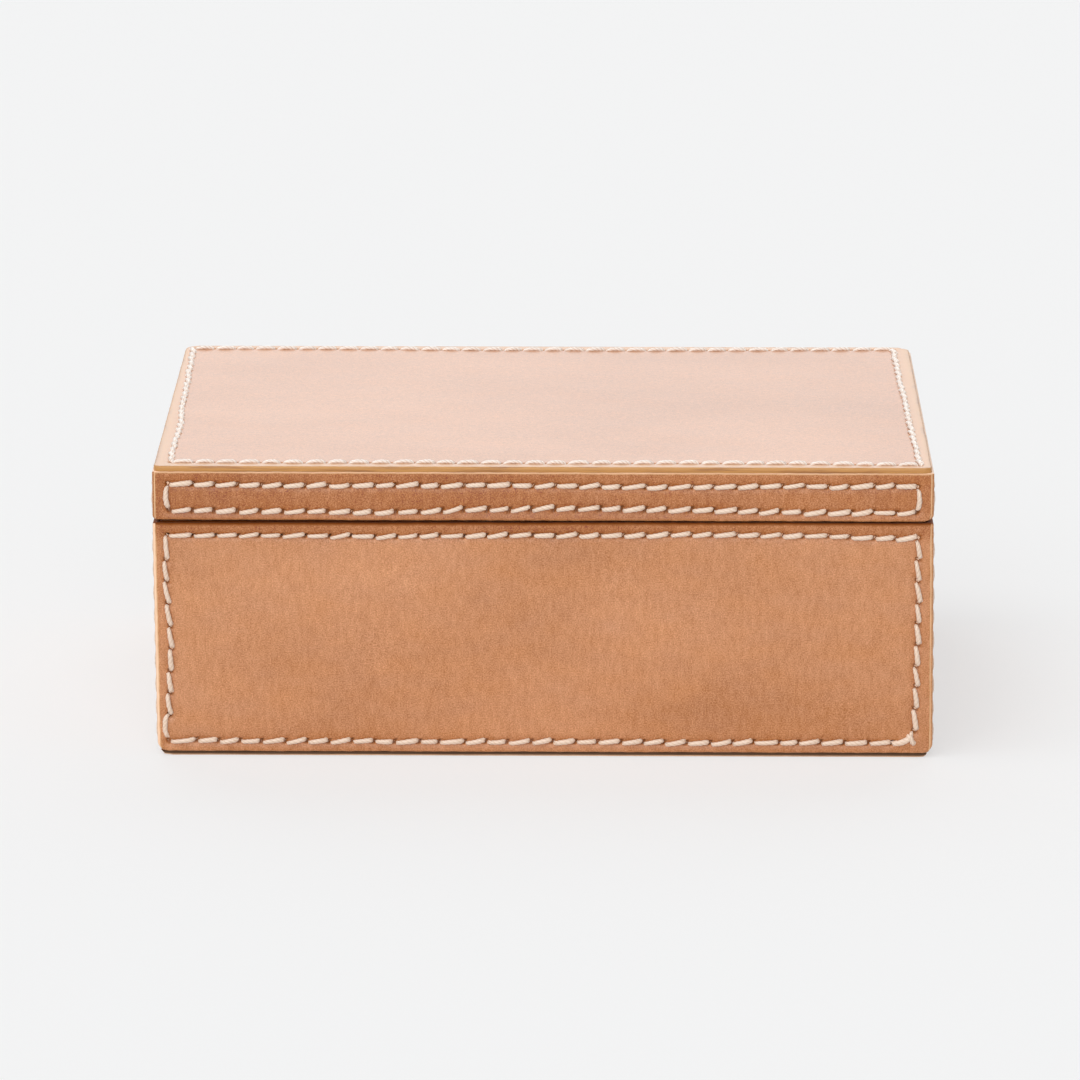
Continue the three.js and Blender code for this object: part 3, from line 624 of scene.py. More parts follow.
class Seam:
    """One stitched rectangle on a panel: its rows, its awl slits and how far they stray from straight."""

    def __init__(self, thread_node, side, panel_low, panel_high, seed, drawing=1.0, lift=0.0):
        low, high = spans(thread_node, side)
        name = thread_node.removesuffix("_thread")
        self.low, self.high = low[:2] + THREAD_REACH, high[:2] - THREAD_REACH
        self.panel_low, self.panel_high = panel_low, panel_high
        self.drawing, self.lift = drawing, lift
        self.corner_moves = np.array(CORNER_MOVES.get(name, STRAIGHT), float)
        self.bends = ROW_BENDS.get(name, {})
        self.trims = ROW_TRIMS.get(name, {})
        self.odd_stitches = ODD_STITCHES.get(name, ())
        self.patches = LIGHT_AND_SHADE_PATCHES.get(name, ())
        chance = np.random.default_rng(seed)
        self.slips = {}
        self.strays = {}
        for axis in (0, 1):
            for end in (0, 1):
                holes = len(self.holes(axis, end))
                slips = chance.normal(0, HOLE_SLIP, holes)
                self.slips[axis, end] = slips.clip(-2 * HOLE_SLIP, 2 * HOLE_SLIP)
                drift = np.convolve(chance.normal(0, 1, holes + 2 * DRIFT_ENDS), DRIFT_WINDOW, "same")
                jitter = chance.normal(0, 1, holes)
                stray = DRIFT_SHARE * drift[DRIFT_ENDS:-DRIFT_ENDS] + JITTER_SHARE * jitter
                self.strays[axis, end] = ROW_WANDER * stray

    def holes(self, axis, end):
        """Where the awl went through along one row, evenly spaced before the warp."""
        at_low, at_high, fewer = self.trims.get((axis, end), (0, 0, 0))
        count = max(1, round((self.high[axis] - self.low[axis]) / STITCH_PITCH)) - fewer
        return np.linspace(self.low[axis] + at_low, self.high[axis] - at_high, count + 1)

    def warp(self, u, v):
        """Moves points of the straight panel to where the leather really lies.

        Across each row the lines lean with the awl's slits, holes slip along the row by a random amount,
        and the row strays and bends sideways. The seam's four corners move by set amounts, and points between
        them by shares of these. All of it fades out towards the panel's edges.
        """
        places = (u, v)
        moves = [np.zeros_like(u), np.zeros_like(v)]
        for axis in (0, 1):
            lean = SLIT_SLANT if axis == 0 else -SLIT_SLANT
            here, span = places[axis], self.high[axis] - self.low[axis]
            full = smoothstep(np.minimum(here - self.low[axis], self.high[axis] - here), *ROW_END_FADE)
            for end, row in enumerate((self.low[1 - axis], self.high[1 - axis])):
                off = places[1 - axis] - row
                slip = np.interp(here, self.holes(axis, end), self.slips[axis, end])
                stray = np.interp(here, self.holes(axis, end), self.strays[axis, end])
                bend = self.bends.get((axis, end), (0, 0))
                stray = stray + np.interp((here - self.low[axis]) / span, np.linspace(0, 1, len(bend)), bend)
                moves[axis] += (lean * off + slip) * full * bell(off, LEAN_REACH)
                moves[1 - axis] += stray * bell(off, WANDER_REACH)
        across = np.clip((u - self.low[0]) / (self.high[0] - self.low[0]), 0, 1)[..., None]
        up = np.clip((v - self.low[1]) / (self.high[1] - self.low[1]), 0, 1)[..., None]
        left_foot, left_top, right_foot, right_top = self.corner_moves
        left = left_foot + (left_top - left_foot) * up
        right = right_foot + (right_top - right_foot) * up
        corner_move = left + (right - left) * across
        moves[0] += corner_move[..., 0]
        moves[1] += corner_move[..., 1]
        edge = np.minimum.reduce([
            u - self.panel_low[0], self.panel_high[0] - u, v - self.panel_low[1], self.panel_high[1] - v,
        ])
        fade = smoothstep(edge, *PANEL_EDGE_FADE)
        return u + moves[0] * fade, v + moves[1] * fade

    def relief(self, u, v):
        """How deep the leather is drawn in by the thread, and masks of the drawn-in leather and of the slits.

        Along each row runs a shallow channel with a bell-shaped section, deeper round each hole. A slit is a
        narrow pit across the row at each hole. Where rows meet, the deeper one counts.
        """
        places = (u, v)
        drawn = np.zeros_like(u)
        press = np.zeros_like(u)
        pit = np.zeros_like(u)
        for axis in (0, 1):
            for end, row in enumerate((self.low[1 - axis], self.high[1 - axis])):
                holes = self.holes(axis, end)
                beyond = np.maximum(np.maximum(holes[0] - places[axis], places[axis] - holes[-1]), 0)
                phase = (places[axis] - holes[0]) / (holes[1] - holes[0])
                from_hole = np.abs(phase - np.round(phase)) * (holes[1] - holes[0])
                from_hole = np.where(beyond > 0, beyond, from_hole)
                off = places[1 - axis] - row
                across = bell(off, CHANNEL_WIDTH)
                channel = across * bell(beyond, CHANNEL_WIDTH)
                pucker = across * bell(from_hole, PUCKER_LENGTH)
                drawn = np.maximum(drawn, self.drawing * (CHANNEL_DEPTH * channel + PUCKER_DEPTH * pucker))
                press = np.maximum(press, self.drawing * channel)
                mouth = 1 - smoothstep(from_hole, *SLIT_WIDTH_FADE)
                reach = 1 - smoothstep(np.abs(off), *SLIT_LENGTH_FADE)
                pit = np.maximum(pit, mouth * reach)
        return drawn, press, pit * math.sqrt(self.drawing)

    def tone(self, u, v):
        """Painted light and shade in broad patches, as how much darker each place is made: a sum of bells,
        one to a patch.
        """
        total = np.zeros_like(u)
        for (place_u, place_v), half_u, half_v, strength in self.patches:
            total += strength * bell(u - place_u, half_u) * bell(v - place_v, half_v)
        return total


def edge_walk(thickness):
    """Distances along a panel's skin from the start of its flat face out over the edge to the flesh side."""
    over = math.pi / 2 * EDGE_ROUND
    under = math.pi / 2 * FLESH_ROUND
    straight = thickness - EDGE_ROUND - FLESH_ROUND
    return over, over + straight, over + straight + under


def edge_profile(walk, thickness):
    """Inset and drop of a panel's skin at a pseudo inset, which goes on below zero over the edge.

    Inwards of EDGE_ROUND the skin is flat. Further out it follows a quarter circle, then the straight cut
    side, then a small quarter circle to the flesh side.
    """
    over, side, whole = edge_walk(thickness)
    gone = np.clip(EDGE_ROUND - walk, 0, whole)
    turn = np.clip(gone / EDGE_ROUND, 0, math.pi / 2)
    tuck = np.clip((gone - side) / FLESH_ROUND, 0, math.pi / 2)
    inset = np.where(gone > 0, EDGE_ROUND * (1 - np.sin(turn)), walk) + FLESH_ROUND * (1 - np.cos(tuck))
    cut = np.clip(gone - over, 0, side - over)
    drop = EDGE_ROUND * (1 - np.cos(turn)) + cut + FLESH_ROUND * np.sin(tuck)
    return inset, drop


def grid_lines(low, high, thickness, rows, holes, spacing):
    """Where a panel's grid lines cross one axis: over both edges, close together at rows and holes, and
    evenly spaced in between."""
    over, side, whole = edge_walk(thickness)
    walks = np.concatenate([np.linspace(0, over, EDGE_STEPS + 1), [side, (side + whole) / 2, whole]])
    verges = [low + VERGE_WIDTH, high - VERGE_WIDTH]
    even = np.linspace(*verges, max(2, int((high - low) / spacing)))
    wanted = [row + ROW_LINES for row in rows] + [hole + HOLE_LINES for hole in holes]
    fine = np.sort(np.concatenate(wanted)) if wanted else np.zeros(0)
    if len(fine):
        even = even[np.abs(even[:, None] - fine[None, :]).min(1) > spacing / 2]
    lines = np.sort(np.concatenate([even, fine, verges]))
    margin = EDGE_ROUND + LINE_LEAST_STEP
    lines = lines[(lines > low + margin) & (lines < high - margin)]
    kept = [lines[0]]
    for line in lines[1:]:
        if line - kept[-1] >= LINE_LEAST_STEP:
            kept.append(line)
    outer = EDGE_ROUND - walks
    return np.concatenate([low + outer[::-1], kept, high - outer])


def sines(places, seed, lengths):
    """A smooth random wave: a few sines of given lengths, added up and kept near one."""
    chance = np.random.default_rng(seed)
    total = 0
    for length in lengths:
        total = total + np.sin(2 * math.pi * places / length + chance.uniform(0, 2 * math.pi))
    return total / len(lengths)


def side_weight(weights, in_low_v, in_high_v, in_low_u, in_high_u):
    """The weight of whichever side is nearest: foot, top, left or right."""
    nearest = np.argmin(np.stack([in_low_v, in_high_v, in_low_u, in_high_u]), 0)
    return np.array(weights, float)[nearest]


# Slow ripples in the skin, and waves along cut edges: how deep, how long, and where they fade
RIPPLE_DEPTH = 0.09
RIPPLE_LENGTHS = ((61, 37, 23), (47, 29))
RIPPLE_SLANTS = (0.4, -0.3)
RIPPLE_FADE = (0, 6)
WAVE_DEPTH = 0.09
WAVE_LENGTHS = ((31, 17, 5.3, 3.1), (43, 19, 6.1, 3.7))
WAVE_FADE = (5, 0)
# How far in from the foot, the top, the left and the right a darker border fades; at the base's foot it is
# painted shade
BORDER_FADES = ((1.5, 7.5), (3.0, 7.0), (1.5, 6.5), (1.5, 6.5))


def edge_wave(here, other, middle, seed, lengths):
    """How far a cut edge strays inwards along an axis: a depth times one plus a wave along the other axis."""
    return WAVE_DEPTH * np.sign(middle - here) * (1 + sines(other, seed, lengths))


def panel_surface(low, high, radii, seam=None, curl=None, border=(0, 0, 0, 0), everywhere=0.0,
                  ridge=(0, 0, 0, 0), stain=(0, 0, 0, 0), stain_reach=(0.55, 0.15), verge=(1, 1, 1, 1),
                  verge_spread=1.0, seed=0, spacing=4.0):
    """A closed sheet of leather on a grid, in its face's own axes, with its masks.

    The grid's two parameters run along and up the panel, and on over its edges to the flesh side. In each
    corner the square grid is drawn onto a quarter disc. The seam then warps the grid in its plane and draws
    it in, and slow sines make the skin and the cut edges a little uneven. Border, highlight line, gap shade
    and verge are strengths at the foot, the top, the left and the right; the highlight line is a painted
    highlight, and the gap shade is painted shade.
    """
    thickness = high[2] - low[2]
    centre = (low + high) / 2
    rows = [(seam.low[axis], seam.high[axis]) if seam else () for axis in (0, 1)]
    holes = [np.concatenate([seam.holes(axis, 0), seam.holes(axis, 1)]) if seam else () for axis in (0, 1)]
    u_lines = grid_lines(low[0], high[0], thickness, rows[0], holes[0], spacing)
    v_lines = grid_lines(low[1], high[1], thickness, rows[1], holes[1], spacing)
    u_walk, v_walk = np.meshgrid(u_lines, v_lines, indexing="ij")

    in_u = np.minimum(u_walk - low[0], high[0] - u_walk)
    in_v = np.minimum(v_walk - low[1], high[1] - v_walk)
    level = np.minimum(in_u, in_v)
    inset, drop = edge_profile(level, thickness)
    near_u = np.where(in_u <= in_v, inset, np.maximum(in_u, 0))
    near_v = np.where(in_v <= in_u, inset, np.maximum(in_v, 0))
    at_left, at_foot = u_walk < centre[0], v_walk < centre[1]
    radius = np.where(at_left, np.where(at_foot, *radii[:2]), np.where(at_foot, *radii[2:]))
    corner = (in_u < radius) & (in_v < radius)
    off_u, off_v = radius - in_u, radius - in_v
    away = np.where(corner, np.hypot(off_u, off_v), 1)
    near_u = np.where(corner, radius - (radius - inset) * off_u / away, near_u)
    near_v = np.where(corner, radius - (radius - inset) * off_v / away, near_v)
    flat_u = np.where(at_left, low[0] + near_u, high[0] - near_u)
    flat_v = np.where(at_foot, low[1] + near_v, high[1] - near_v)

    sides = (v_walk - low[1], high[1] - v_walk, u_walk - low[0], high[0] - u_walk)
    reached = VERGE_WIDTH - np.where(level > 0, level / verge_spread, level)
    masks = {
        "verge": np.clip(reached, 0, None) * side_weight(verge, *sides),
        "ridge": side_weight(ridge, *sides),
        "stain": side_weight(stain, *sides) * smoothstep(level, *stain_reach),
        "press": np.zeros_like(flat_u), "awl": np.zeros_like(flat_u), "tone": np.zeros_like(flat_u),
    }
    ripples = [sines(flat_u + RIPPLE_SLANTS[0] * flat_v, seed, RIPPLE_LENGTHS[0]),
               sines(flat_v + RIPPLE_SLANTS[1] * flat_u, seed + 1, RIPPLE_LENGTHS[1])]
    depth = drop + smoothstep(level, *RIPPLE_FADE) * RIPPLE_DEPTH * (1 + ripples[0] * ripples[1])
    u, v = flat_u, flat_v
    if seam:
        skin = 1 - np.clip(drop / EDGE_ROUND, 0, 1)
        drawn, press, pit = seam.relief(flat_u, flat_v)
        depth += skin * (drawn + SLIT_DEPTH * pit)
        masks["press"], masks["awl"], masks["tone"] = press * skin, pit * skin, seam.tone(flat_u, flat_v)
        u, v = seam.warp(flat_u, flat_v)
    at_edge = smoothstep(level, *WAVE_FADE)
    u = u + at_edge * (in_u < in_v) * edge_wave(u, v, centre[0], seed + 2, WAVE_LENGTHS[0])
    v = v + at_edge * (in_v < in_u) * edge_wave(v, u, centre[1], seed + 3, WAVE_LENGTHS[1])
    if curl:
        depth = depth + curl(flat_u, flat_v) * (1 - drop / thickness)

    insets = (flat_v - low[1], high[1] - flat_v, flat_u - low[0], high[0] - flat_u)
    dark = [strength * (1 - smoothstep(inset, *fade))
            for strength, inset, fade in zip(border, insets, BORDER_FADES)]
    masks["border"] = np.maximum(np.maximum.reduce(dark), everywhere)
    return np.stack([u, v, high[2] - depth], -1), masks


def grid_faces(count_u, count_v):
    """Quads over a grid of points, and one flat face across the grid's rim, which closes the back."""
    number = np.arange(count_u * count_v).reshape(count_u, count_v)
    quads = np.stack([number[:-1, :-1], number[1:, :-1], number[1:, 1:], number[:-1, 1:]], -1).reshape(-1, 4)
    rim = np.concatenate([number[0, :-1], number[:-1, -1], number[-1, :0:-1], number[:0:-1, 0]])
    return quads.tolist() + [rim.tolist()]


# The height of the parting, how far the base's ends lean at the foot, and how far its top edge sags. A lean
# grows from the middle to its end, and the sag grows from the right to the left and up to the top edge.
PARTING_HEIGHT = 63.3
LEFT_LEAN = 0.7
RIGHT_LEAN = 0.5
LEAN_SPAN = (0, 100)
LEFT_SAG = 0.38
SAG_SPAN = (-60, 100)
SAG_HEIGHTS = (58, 62)


def hand_set(body, points):
    """The base as it was glued up, its left end leaning in and its right end out towards the foot. Points
    move right by a smooth share of how far to one side they are, times how far they are below the parting.
    The top edge sags a little towards the left."""
    if body == "base":
        rightwards, height = points[..., 0].copy(), points[..., 2].copy()
        left_lean = LEFT_LEAN * smoothstep(-rightwards, *LEAN_SPAN)
        right_lean = RIGHT_LEAN * smoothstep(rightwards, *LEAN_SPAN)
        points[..., 0] += (left_lean + right_lean) * np.clip(1 - height / PARTING_HEIGHT, 0, 1)
        points[..., 2] -= LEFT_SAG * smoothstep(-rightwards, *SAG_SPAN) * smoothstep(height, *SAG_HEIGHTS)
    return points


def sheet_spans(node, side, grow=(0, 0, 0, 0), rise=0.0):
    """A panel's lowest and highest places on its face's axes. It may be larger than its CAD node at its
    foot, top, left and right, where it meets its neighbours, and thicker by its rise."""
    low, high = spans(node, side)
    foot, top, left, right = grow
    return low - (left, foot, 0), high + (right, top, rise)


def add_panel(name, node, side, body, material, slot, low, high, gold=0.0, **shape):
    """A panel of leather or suede that stands for a CAD node."""
    points, masks = panel_surface(low, high, **shape)
    masks["gold"] = np.full(points.shape[:2], gold)
    world = points @ np.array(FACES[side], float)
    if slot == "leather":
        world = hand_set(body, world)
    piece = mesh_piece(name, world, grid_faces(*points.shape[:2]), material, masks)
    wear(piece, body, slot, node)


# Saddle stitches: the thread's half width and height, its plies, the length in which they wind round once,
# and how fine its mesh is
THREAD_HALF_WIDTH = 0.63
THREAD_HALF_HEIGHT = 0.5
THREAD_PLIES = 3
THREAD_LAY = 3.4
PLY_BULGE = 0.1
RING_POINTS = 12
STATIONS = 11
# Where a stitch's middle line ends, how high its middle is, how flat its arch and how steep its ends
STITCH_END_GAP = 0.74
STITCH_END_DEPTH = 0.75
STITCH_CENTRE_HEIGHT = 0.26
ARCH_POWER = 0.42
STEEPEST = 1.15
# A stitch's girth at its ends beside its middle, and how much fuller one end is
END_GIRTH = 0.7
TAPER_POWER = 0.4
FULLER_END = 0.12
# How far stitches lean and bow sideways in rows, in columns, and when one stitch fills a whole column
ROW_SLOPE = 0.3
COLUMN_SLOPE = 0.42
COLUMN_BOW = 0.1
LONE_STITCH_BOW = 0.6
# How much single stitches differ
GIRTH_VARIES = 0.05
GIRTH_LIMITS = (0.88, 1.12)
GAP_VARIES = 0.06
LEAN_VARIES = 0.1
BOW_VARIES = 0.07


def stitch_tubes(starts, ends, lean, arc, fuller, lift, seed):
    """Tubes of twisted thread from hole to hole: their middle lines along, across and above the row, the
    steps from these to the thread's skin, and how many turns the plies have wound.

    A stitch's middle line is a flattened arch: its run along the row follows a sine and its height a
    cosine raised to a small power, so it comes steeply out of one slit and goes steeply into the next.
    Sideways it leans by a sine and bows by a cosine. Round it goes an ellipse whose radius swells three
    times to make the plies, further round with the length, so that the plies wind. The thread may be
    fuller towards one end, and a slack one is lifted in the middle.
    """
    chance = np.random.default_rng(seed)
    each = (len(starts), 1)
    reach = np.linspace(-1, 1, STATIONS) * math.pi / 2
    middle_share = np.cos(reach).clip(0)
    girth = chance.normal(1, GIRTH_VARIES, each).clip(*GIRTH_LIMITS) * (1 + fuller * np.sin(reach))
    gap = STITCH_END_GAP + chance.normal(0, GAP_VARIES, each)
    half = (ends - starts)[:, None] / 2
    middle = (ends + starts)[:, None] / 2
    along = middle + (half - gap) * np.sin(reach)
    rise = (STITCH_CENTRE_HEIGHT + STITCH_END_DEPTH) * middle_share ** ARCH_POWER
    height = np.broadcast_to(rise - STITCH_END_DEPTH + lift * middle_share, along.shape)
    tilt = lean + chance.normal(0, LEAN_VARIES, each)
    bow = arc + chance.normal(0, BOW_VARIES, each)
    across = tilt * np.sin(reach) + bow * middle_share

    slope = np.arctan2(np.gradient(height, axis=1), np.gradient(along, axis=1))
    slope = slope.clip(-STEEPEST, STEEPEST)[..., None]
    ring = np.arange(RING_POINTS) / RING_POINTS
    wound = (chance.uniform(0, 1, each) + along / THREAD_LAY)[..., None]
    taper = END_GIRTH + (1 - END_GIRTH) * middle_share ** TAPER_POWER
    swell = 1 + PLY_BULGE * np.cos(2 * math.pi * THREAD_PLIES * (ring - wound))
    radius = (girth * taper)[..., None] * swell
    side = THREAD_HALF_WIDTH * radius * np.cos(2 * math.pi * ring)
    up = THREAD_HALF_HEIGHT * radius * np.sin(2 * math.pi * ring)
    middles = np.stack([along, across, height], -1)
    steps = np.stack([-up * np.sin(slope), side, up * np.cos(slope)], -1)
    return middles, steps, np.broadcast_to(wound, swell.shape)


def tube_faces(tubes):
    """Quads round each tube and a face at each of its ends."""
    number = np.arange(tubes * STATIONS * RING_POINTS).reshape(tubes, STATIONS, RING_POINTS)
    turn = np.roll(number, -1, axis=2)
    quads = np.stack([number[:, :-1], turn[:, :-1], turn[:, 1:], number[:, 1:]], -1).reshape(-1, 4)
    caps = np.concatenate([number[:, 0, ::-1], number[:, -1, :]])
    return quads.tolist() + caps.tolist()


def tube_uv(wound):
    """UV for tube_faces: the first number goes round from 0 to 1, the second is the turns wound."""
    ring = np.broadcast_to(np.arange(RING_POINTS) / RING_POINTS, wound.shape)
    there = np.stack([ring, wound], -1)
    turned_on = np.roll(there, -1, axis=2)
    turned_on[:, :, -1, 0] = 1.0
    quads = np.stack([there[:, :-1], turned_on[:, :-1], turned_on[:, 1:], there[:, 1:]], -2)
    caps = np.concatenate([there[:, 0, ::-1], there[:, -1, :]])
    return np.concatenate([quads.reshape(-1, 2), caps.reshape(-1, 2)])


def laid(seam, tubes, start, way, out):
    """Stitches given along and across a row, put on the panel: their middle lines follow the leather."""
    middles, steps, wound = tubes
    plan = np.array([way, out], float)
    centre = middles[..., :2] @ plan + start
    centre = np.stack(seam.warp(centre[..., 0], centre[..., 1]), -1)[:, :, None] + steps[..., :2] @ plan
    return np.concatenate([centre, middles[..., None, 2:] + steps[..., 2:]], -1), wound


def seam_stitches(seam, seed):
    """All the stitches of one seam, as points on its panel: clockwise along four rows from hole to hole.

    Stitches in columns lean the same way on both sides. All are fuller at their lower or right ends. Odd
    stitches cross a corner.
    """
    (u_low, v_low), (u_high, v_high) = seam.low, seam.high
    rows = [
        ((0, v_high), (1, 0), (0, 1), seam.holes(0, 1), FULLER_END),
        ((u_high, 0), (0, -1), (1, 0), -seam.holes(1, 1)[::-1], FULLER_END),
        ((0, v_low), (-1, 0), (0, -1), -seam.holes(0, 0)[::-1], -FULLER_END),
        ((u_low, 0), (0, 1), (-1, 0), seam.holes(1, 0), -FULLER_END),
    ]
    pieces = []
    for number, (start, way, out, holes, fuller) in enumerate(rows):
        lean, arc = (ROW_SLOPE, 0) if way[1] == 0 else (COLUMN_SLOPE, COLUMN_BOW)
        if len(holes) == 2:
            lean, arc = 0, LONE_STITCH_BOW
        tubes = stitch_tubes(holes[:-1], holes[1:], lean, arc, fuller, seam.lift, seed + number)
        pieces.append(laid(seam, tubes, start, way, out))
    for number, (end, first, last, bow, girth) in enumerate(seam.odd_stitches):
        start = np.array(((u_low if end == "left" else u_high) + first[0], v_low + first[1]))
        run = np.hypot(last[0] - first[0], last[1] - first[1])
        way = ((last[0] - first[0]) / run, (last[1] - first[1]) / run)
        starts, ends = np.zeros(1), np.full(1, run)
        middles, steps, wound = stitch_tubes(starts, ends, 0, bow, 0, seam.lift, seed + number)
        pieces.append(laid(seam, (middles, steps * girth, wound), start, way, (-way[1], way[0])))
    return [np.concatenate(parts) for parts in zip(*pieces)]


def add_stitches(name, node, side, body, material, seam, plane, seed):
    """A panel's whole thread, laid in its channel."""
    points, wound = seam_stitches(seam, seed)
    points[..., 2] += plane
    world = hand_set(body, points @ np.array(FACES[side], float))
    piece = mesh_piece(name, world, tube_faces(len(points)), material, uv=tube_uv(wound))
    wear(piece, body, "thread", node)


# Stitched panels of the base and the lid. Corner radii: left foot, left top, right foot, right top
WALL_CORNER_RADII = {"base": (2.2, 0.6, 2.2, 0.6), "lid": (0.9, 0.6, 2.3, 0.6)}
TOP_CORNER_RADII = (2.0, 4.5, 2.0, 4.5)
END_CORNER_RADII = (0.6, 0.6, 0.6, 0.6)
RIGHT_STRIP_CORNER_RADII = (1.9, 0.6, 0.6, 0.6)
# How round end panels turn in at their feet, and the underside at the box's ends
BASE_FOOT_RADIUS = 2.2
STRIP_FOOT_RADII = {"left": 1.1, "right": 1.9}
UNDERSIDE_CURL = 1.5
# Strengths at the foot, the top, the left and the right, and how far in painted shade in a gap begins and is
# full. The base's darker border is painted shade at the foot.
BASE_BORDER_AND_FOOT_SHADE = (0.3, 1.0, 0.12, 0.12)
BASE_GAP_SHADE = (0, 1, 0, 0)
BASE_GAP_SHADE_REACH = (1.1, 0.1)
UNDERSIDE_GAP_SHADE = (1, 1, 0, 0)
UNDERSIDE_GAP_SHADE_REACH = (-0.1, -0.3)
# Where painted highlight lines run along cut edges, and how strong the verges are
WALL_HIGHLIGHT_LINES = {"base": (0, 0, 1, 1), "lid": (0.55, 0.6, 1, 1)}
WALL_VERGE = (0.3, 1, 0.9, 0.9)
END_HIGHLIGHT_LINE = (0, 0, 1, 1)
END_VERGE = (0.3, 1, 0.4, 0.4)
FULL_VERGE = (1, 1, 1, 1)
# How far panels reach past their CAD nodes, and how much narrower and prouder end panels are
SIDE_GROWTH = 1.4
TOP_GROWTH = 0.42
FOOT_GROWTH = 0.48
BASE_TOP_GROWTH = 0.38
STRIP_FOOT_GROWTH = 0.15
UNDERSIDE_GROWTH = (0.3, 0.3, 0.6, 0.2)
END_SHRINK = 0.06
END_RISE = 0.3
RIGHT_PROUD = 0.22
# How far a thread's plane lies below its panel's face
END_THREAD_SINK = 0.3
TOP_THREAD_SINK = 0.12
UNDERSIDE_THREAD_SINK = 0.95
# Seeds of the panels' random numbers
WALL_SEED = 17
WALL_SEED_STEP = 7
TOP_SEED = 81
UNDERSIDE_SEED = 91


def foot_curl(radius, foot):
    """How far an end panel turns in towards its foot: the drop of a quarter circle from its tangent."""
    def curl(u, v):
        rise = np.clip(radius - (v - foot), 0, radius)
        return radius - np.sqrt(radius ** 2 - rise ** 2)
    return curl


def side_curl(radius, half_width, thickness):
    """How far the underside turns up towards the box's two ends, no deeper than the sheet is thick."""
    def curl(u, v):
        rise = np.clip(radius - (half_width - np.abs(u)), 0, radius)
        return np.minimum(radius - np.sqrt(radius ** 2 - rise ** 2), thickness)
    return curl


def wall_look(body, side, foot):
    """A wall panel's growth, and its corners, verges and tones. Front and back panels run over the ends'
    cut edges, and end panels stand a little proud, the right one more. At the back the parting leaves room
    for the hinges."""
    meets = side != "back"
    if body == "base":
        look = {"border": BASE_BORDER_AND_FOOT_SHADE, "stain": BASE_GAP_SHADE, "stain_reach": BASE_GAP_SHADE_REACH}
        grow = (FOOT_GROWTH, BASE_TOP_GROWTH * meets)
    else:
        look = {"border": (1, 1, 1, 1), "everywhere": 1.0}
        grow = (STRIP_FOOT_GROWTH * meets, TOP_GROWTH)
    if side in ("front", "back"):
        look.update(radii=WALL_CORNER_RADII[body], ridge=WALL_HIGHLIGHT_LINES[body], verge=WALL_VERGE)
        at_left, at_right = (0, RIGHT_PROUD) if side == "front" else (RIGHT_PROUD, 0)
        return {"grow": (*grow, SIDE_GROWTH + at_left, SIDE_GROWTH + at_right)}, look
    worn = (side, body) == ("right", "lid")
    # The base's left end, lit from the left, gets its painted peach highlight on every verge
    lit_left_end = (side, body) == ("left", "base")
    foot_radius = BASE_FOOT_RADIUS if body == "base" else STRIP_FOOT_RADII[side]
    look.update(radii=RIGHT_STRIP_CORNER_RADII if worn else END_CORNER_RADII, ridge=END_HIGHLIGHT_LINE,
                verge=FULL_VERGE if lit_left_end else END_VERGE, curl=foot_curl(foot_radius, foot))
    rise = END_RISE if side == "left" else END_RISE + RIGHT_PROUD
    return {"rise": rise, "grow": (0, grow[1], -END_SHRINK, -END_SHRINK)}, look


def add_stitched(name, side, body, leather, thread, low, high, sink, seed, drawing=1.0, lift=0.0, **look):
    """A leather panel and its thread, which lies a sink below the panel's face."""
    seam = Seam(f"{name}_thread", side, low[:2], high[:2], seed, drawing, lift)
    add_panel(f"{name}_panel", f"{name}_leather", side, body, leather, "leather", low, high, seam=seam,
              seed=seed, **look)
    add_stitches(f"{name}_stitches", f"{name}_thread", side, body, thread, seam, high[2] - sink, seed)


def add_stitched_panels(leather, thread, bleached_thread):
    """The four walls of the base and of the lid, the lid's top and the underside. The top's thread is a
    lighter copy of the thread, painted light for the light that the top catches."""
    seed = WALL_SEED
    for side in ("front", "right", "back", "left"):
        for body in ("base", "lid"):
            node = f"{body}_{side}_leather"
            growth, look = wall_look(body, side, spans(node, side)[0][1])
            low, high = sheet_spans(node, side, **growth)
            sink = END_THREAD_SINK if side in ("right", "left") else 0
            add_stitched(f"{body}_{side}", side, body, leather, thread, low, high, sink, seed, **look)
            seed += WALL_SEED_STEP

    low, high = sheet_spans("lid_top_leather", "top")
    add_stitched("lid_top", "top", "lid", leather, bleached_thread, low, high, TOP_THREAD_SINK, TOP_SEED,
                 drawing=0.16, lift=0.12, radii=TOP_CORNER_RADII, spacing=7.0, gold=1.0, verge_spread=5.0)

    low, high = sheet_spans("underside_leather", "underside", UNDERSIDE_GROWTH)
    curl = side_curl(UNDERSIDE_CURL, high[0], high[2] - low[2])
    add_stitched("underside", "underside", "base", leather, thread, low, high, UNDERSIDE_THREAD_SINK,
                 UNDERSIDE_SEED, radii=END_CORNER_RADII, curl=curl, spacing=7.0, stain=UNDERSIDE_GAP_SHADE,
                 stain_reach=UNDERSIDE_GAP_SHADE_REACH, gold=0.5)


# Linings
def add_linings(suede):
    """Thin suede sheets on the inner faces of the boards, with soft edges."""
    opposite = {"front": "back", "back": "front", "left": "right", "right": "left"}
    sheets = [(f"{body}_{side}_lining", facing, body, 3.0) for body in ("base", "lid")
              for side, facing in opposite.items()]
    sheets += [("base_floor_lining", "top", "base", 4.0), ("lid_top_lining", "underside", "lid", 4.0)]
    for seed, (node, facing, body, spacing) in enumerate(sheets):
        low, high = sheet_spans(node, facing)
        add_panel(node.replace("lining", "suede"), node, facing, body, suede, "suede", low, high,
                  radii=END_CORNER_RADII, seed=seed, spacing=spacing)


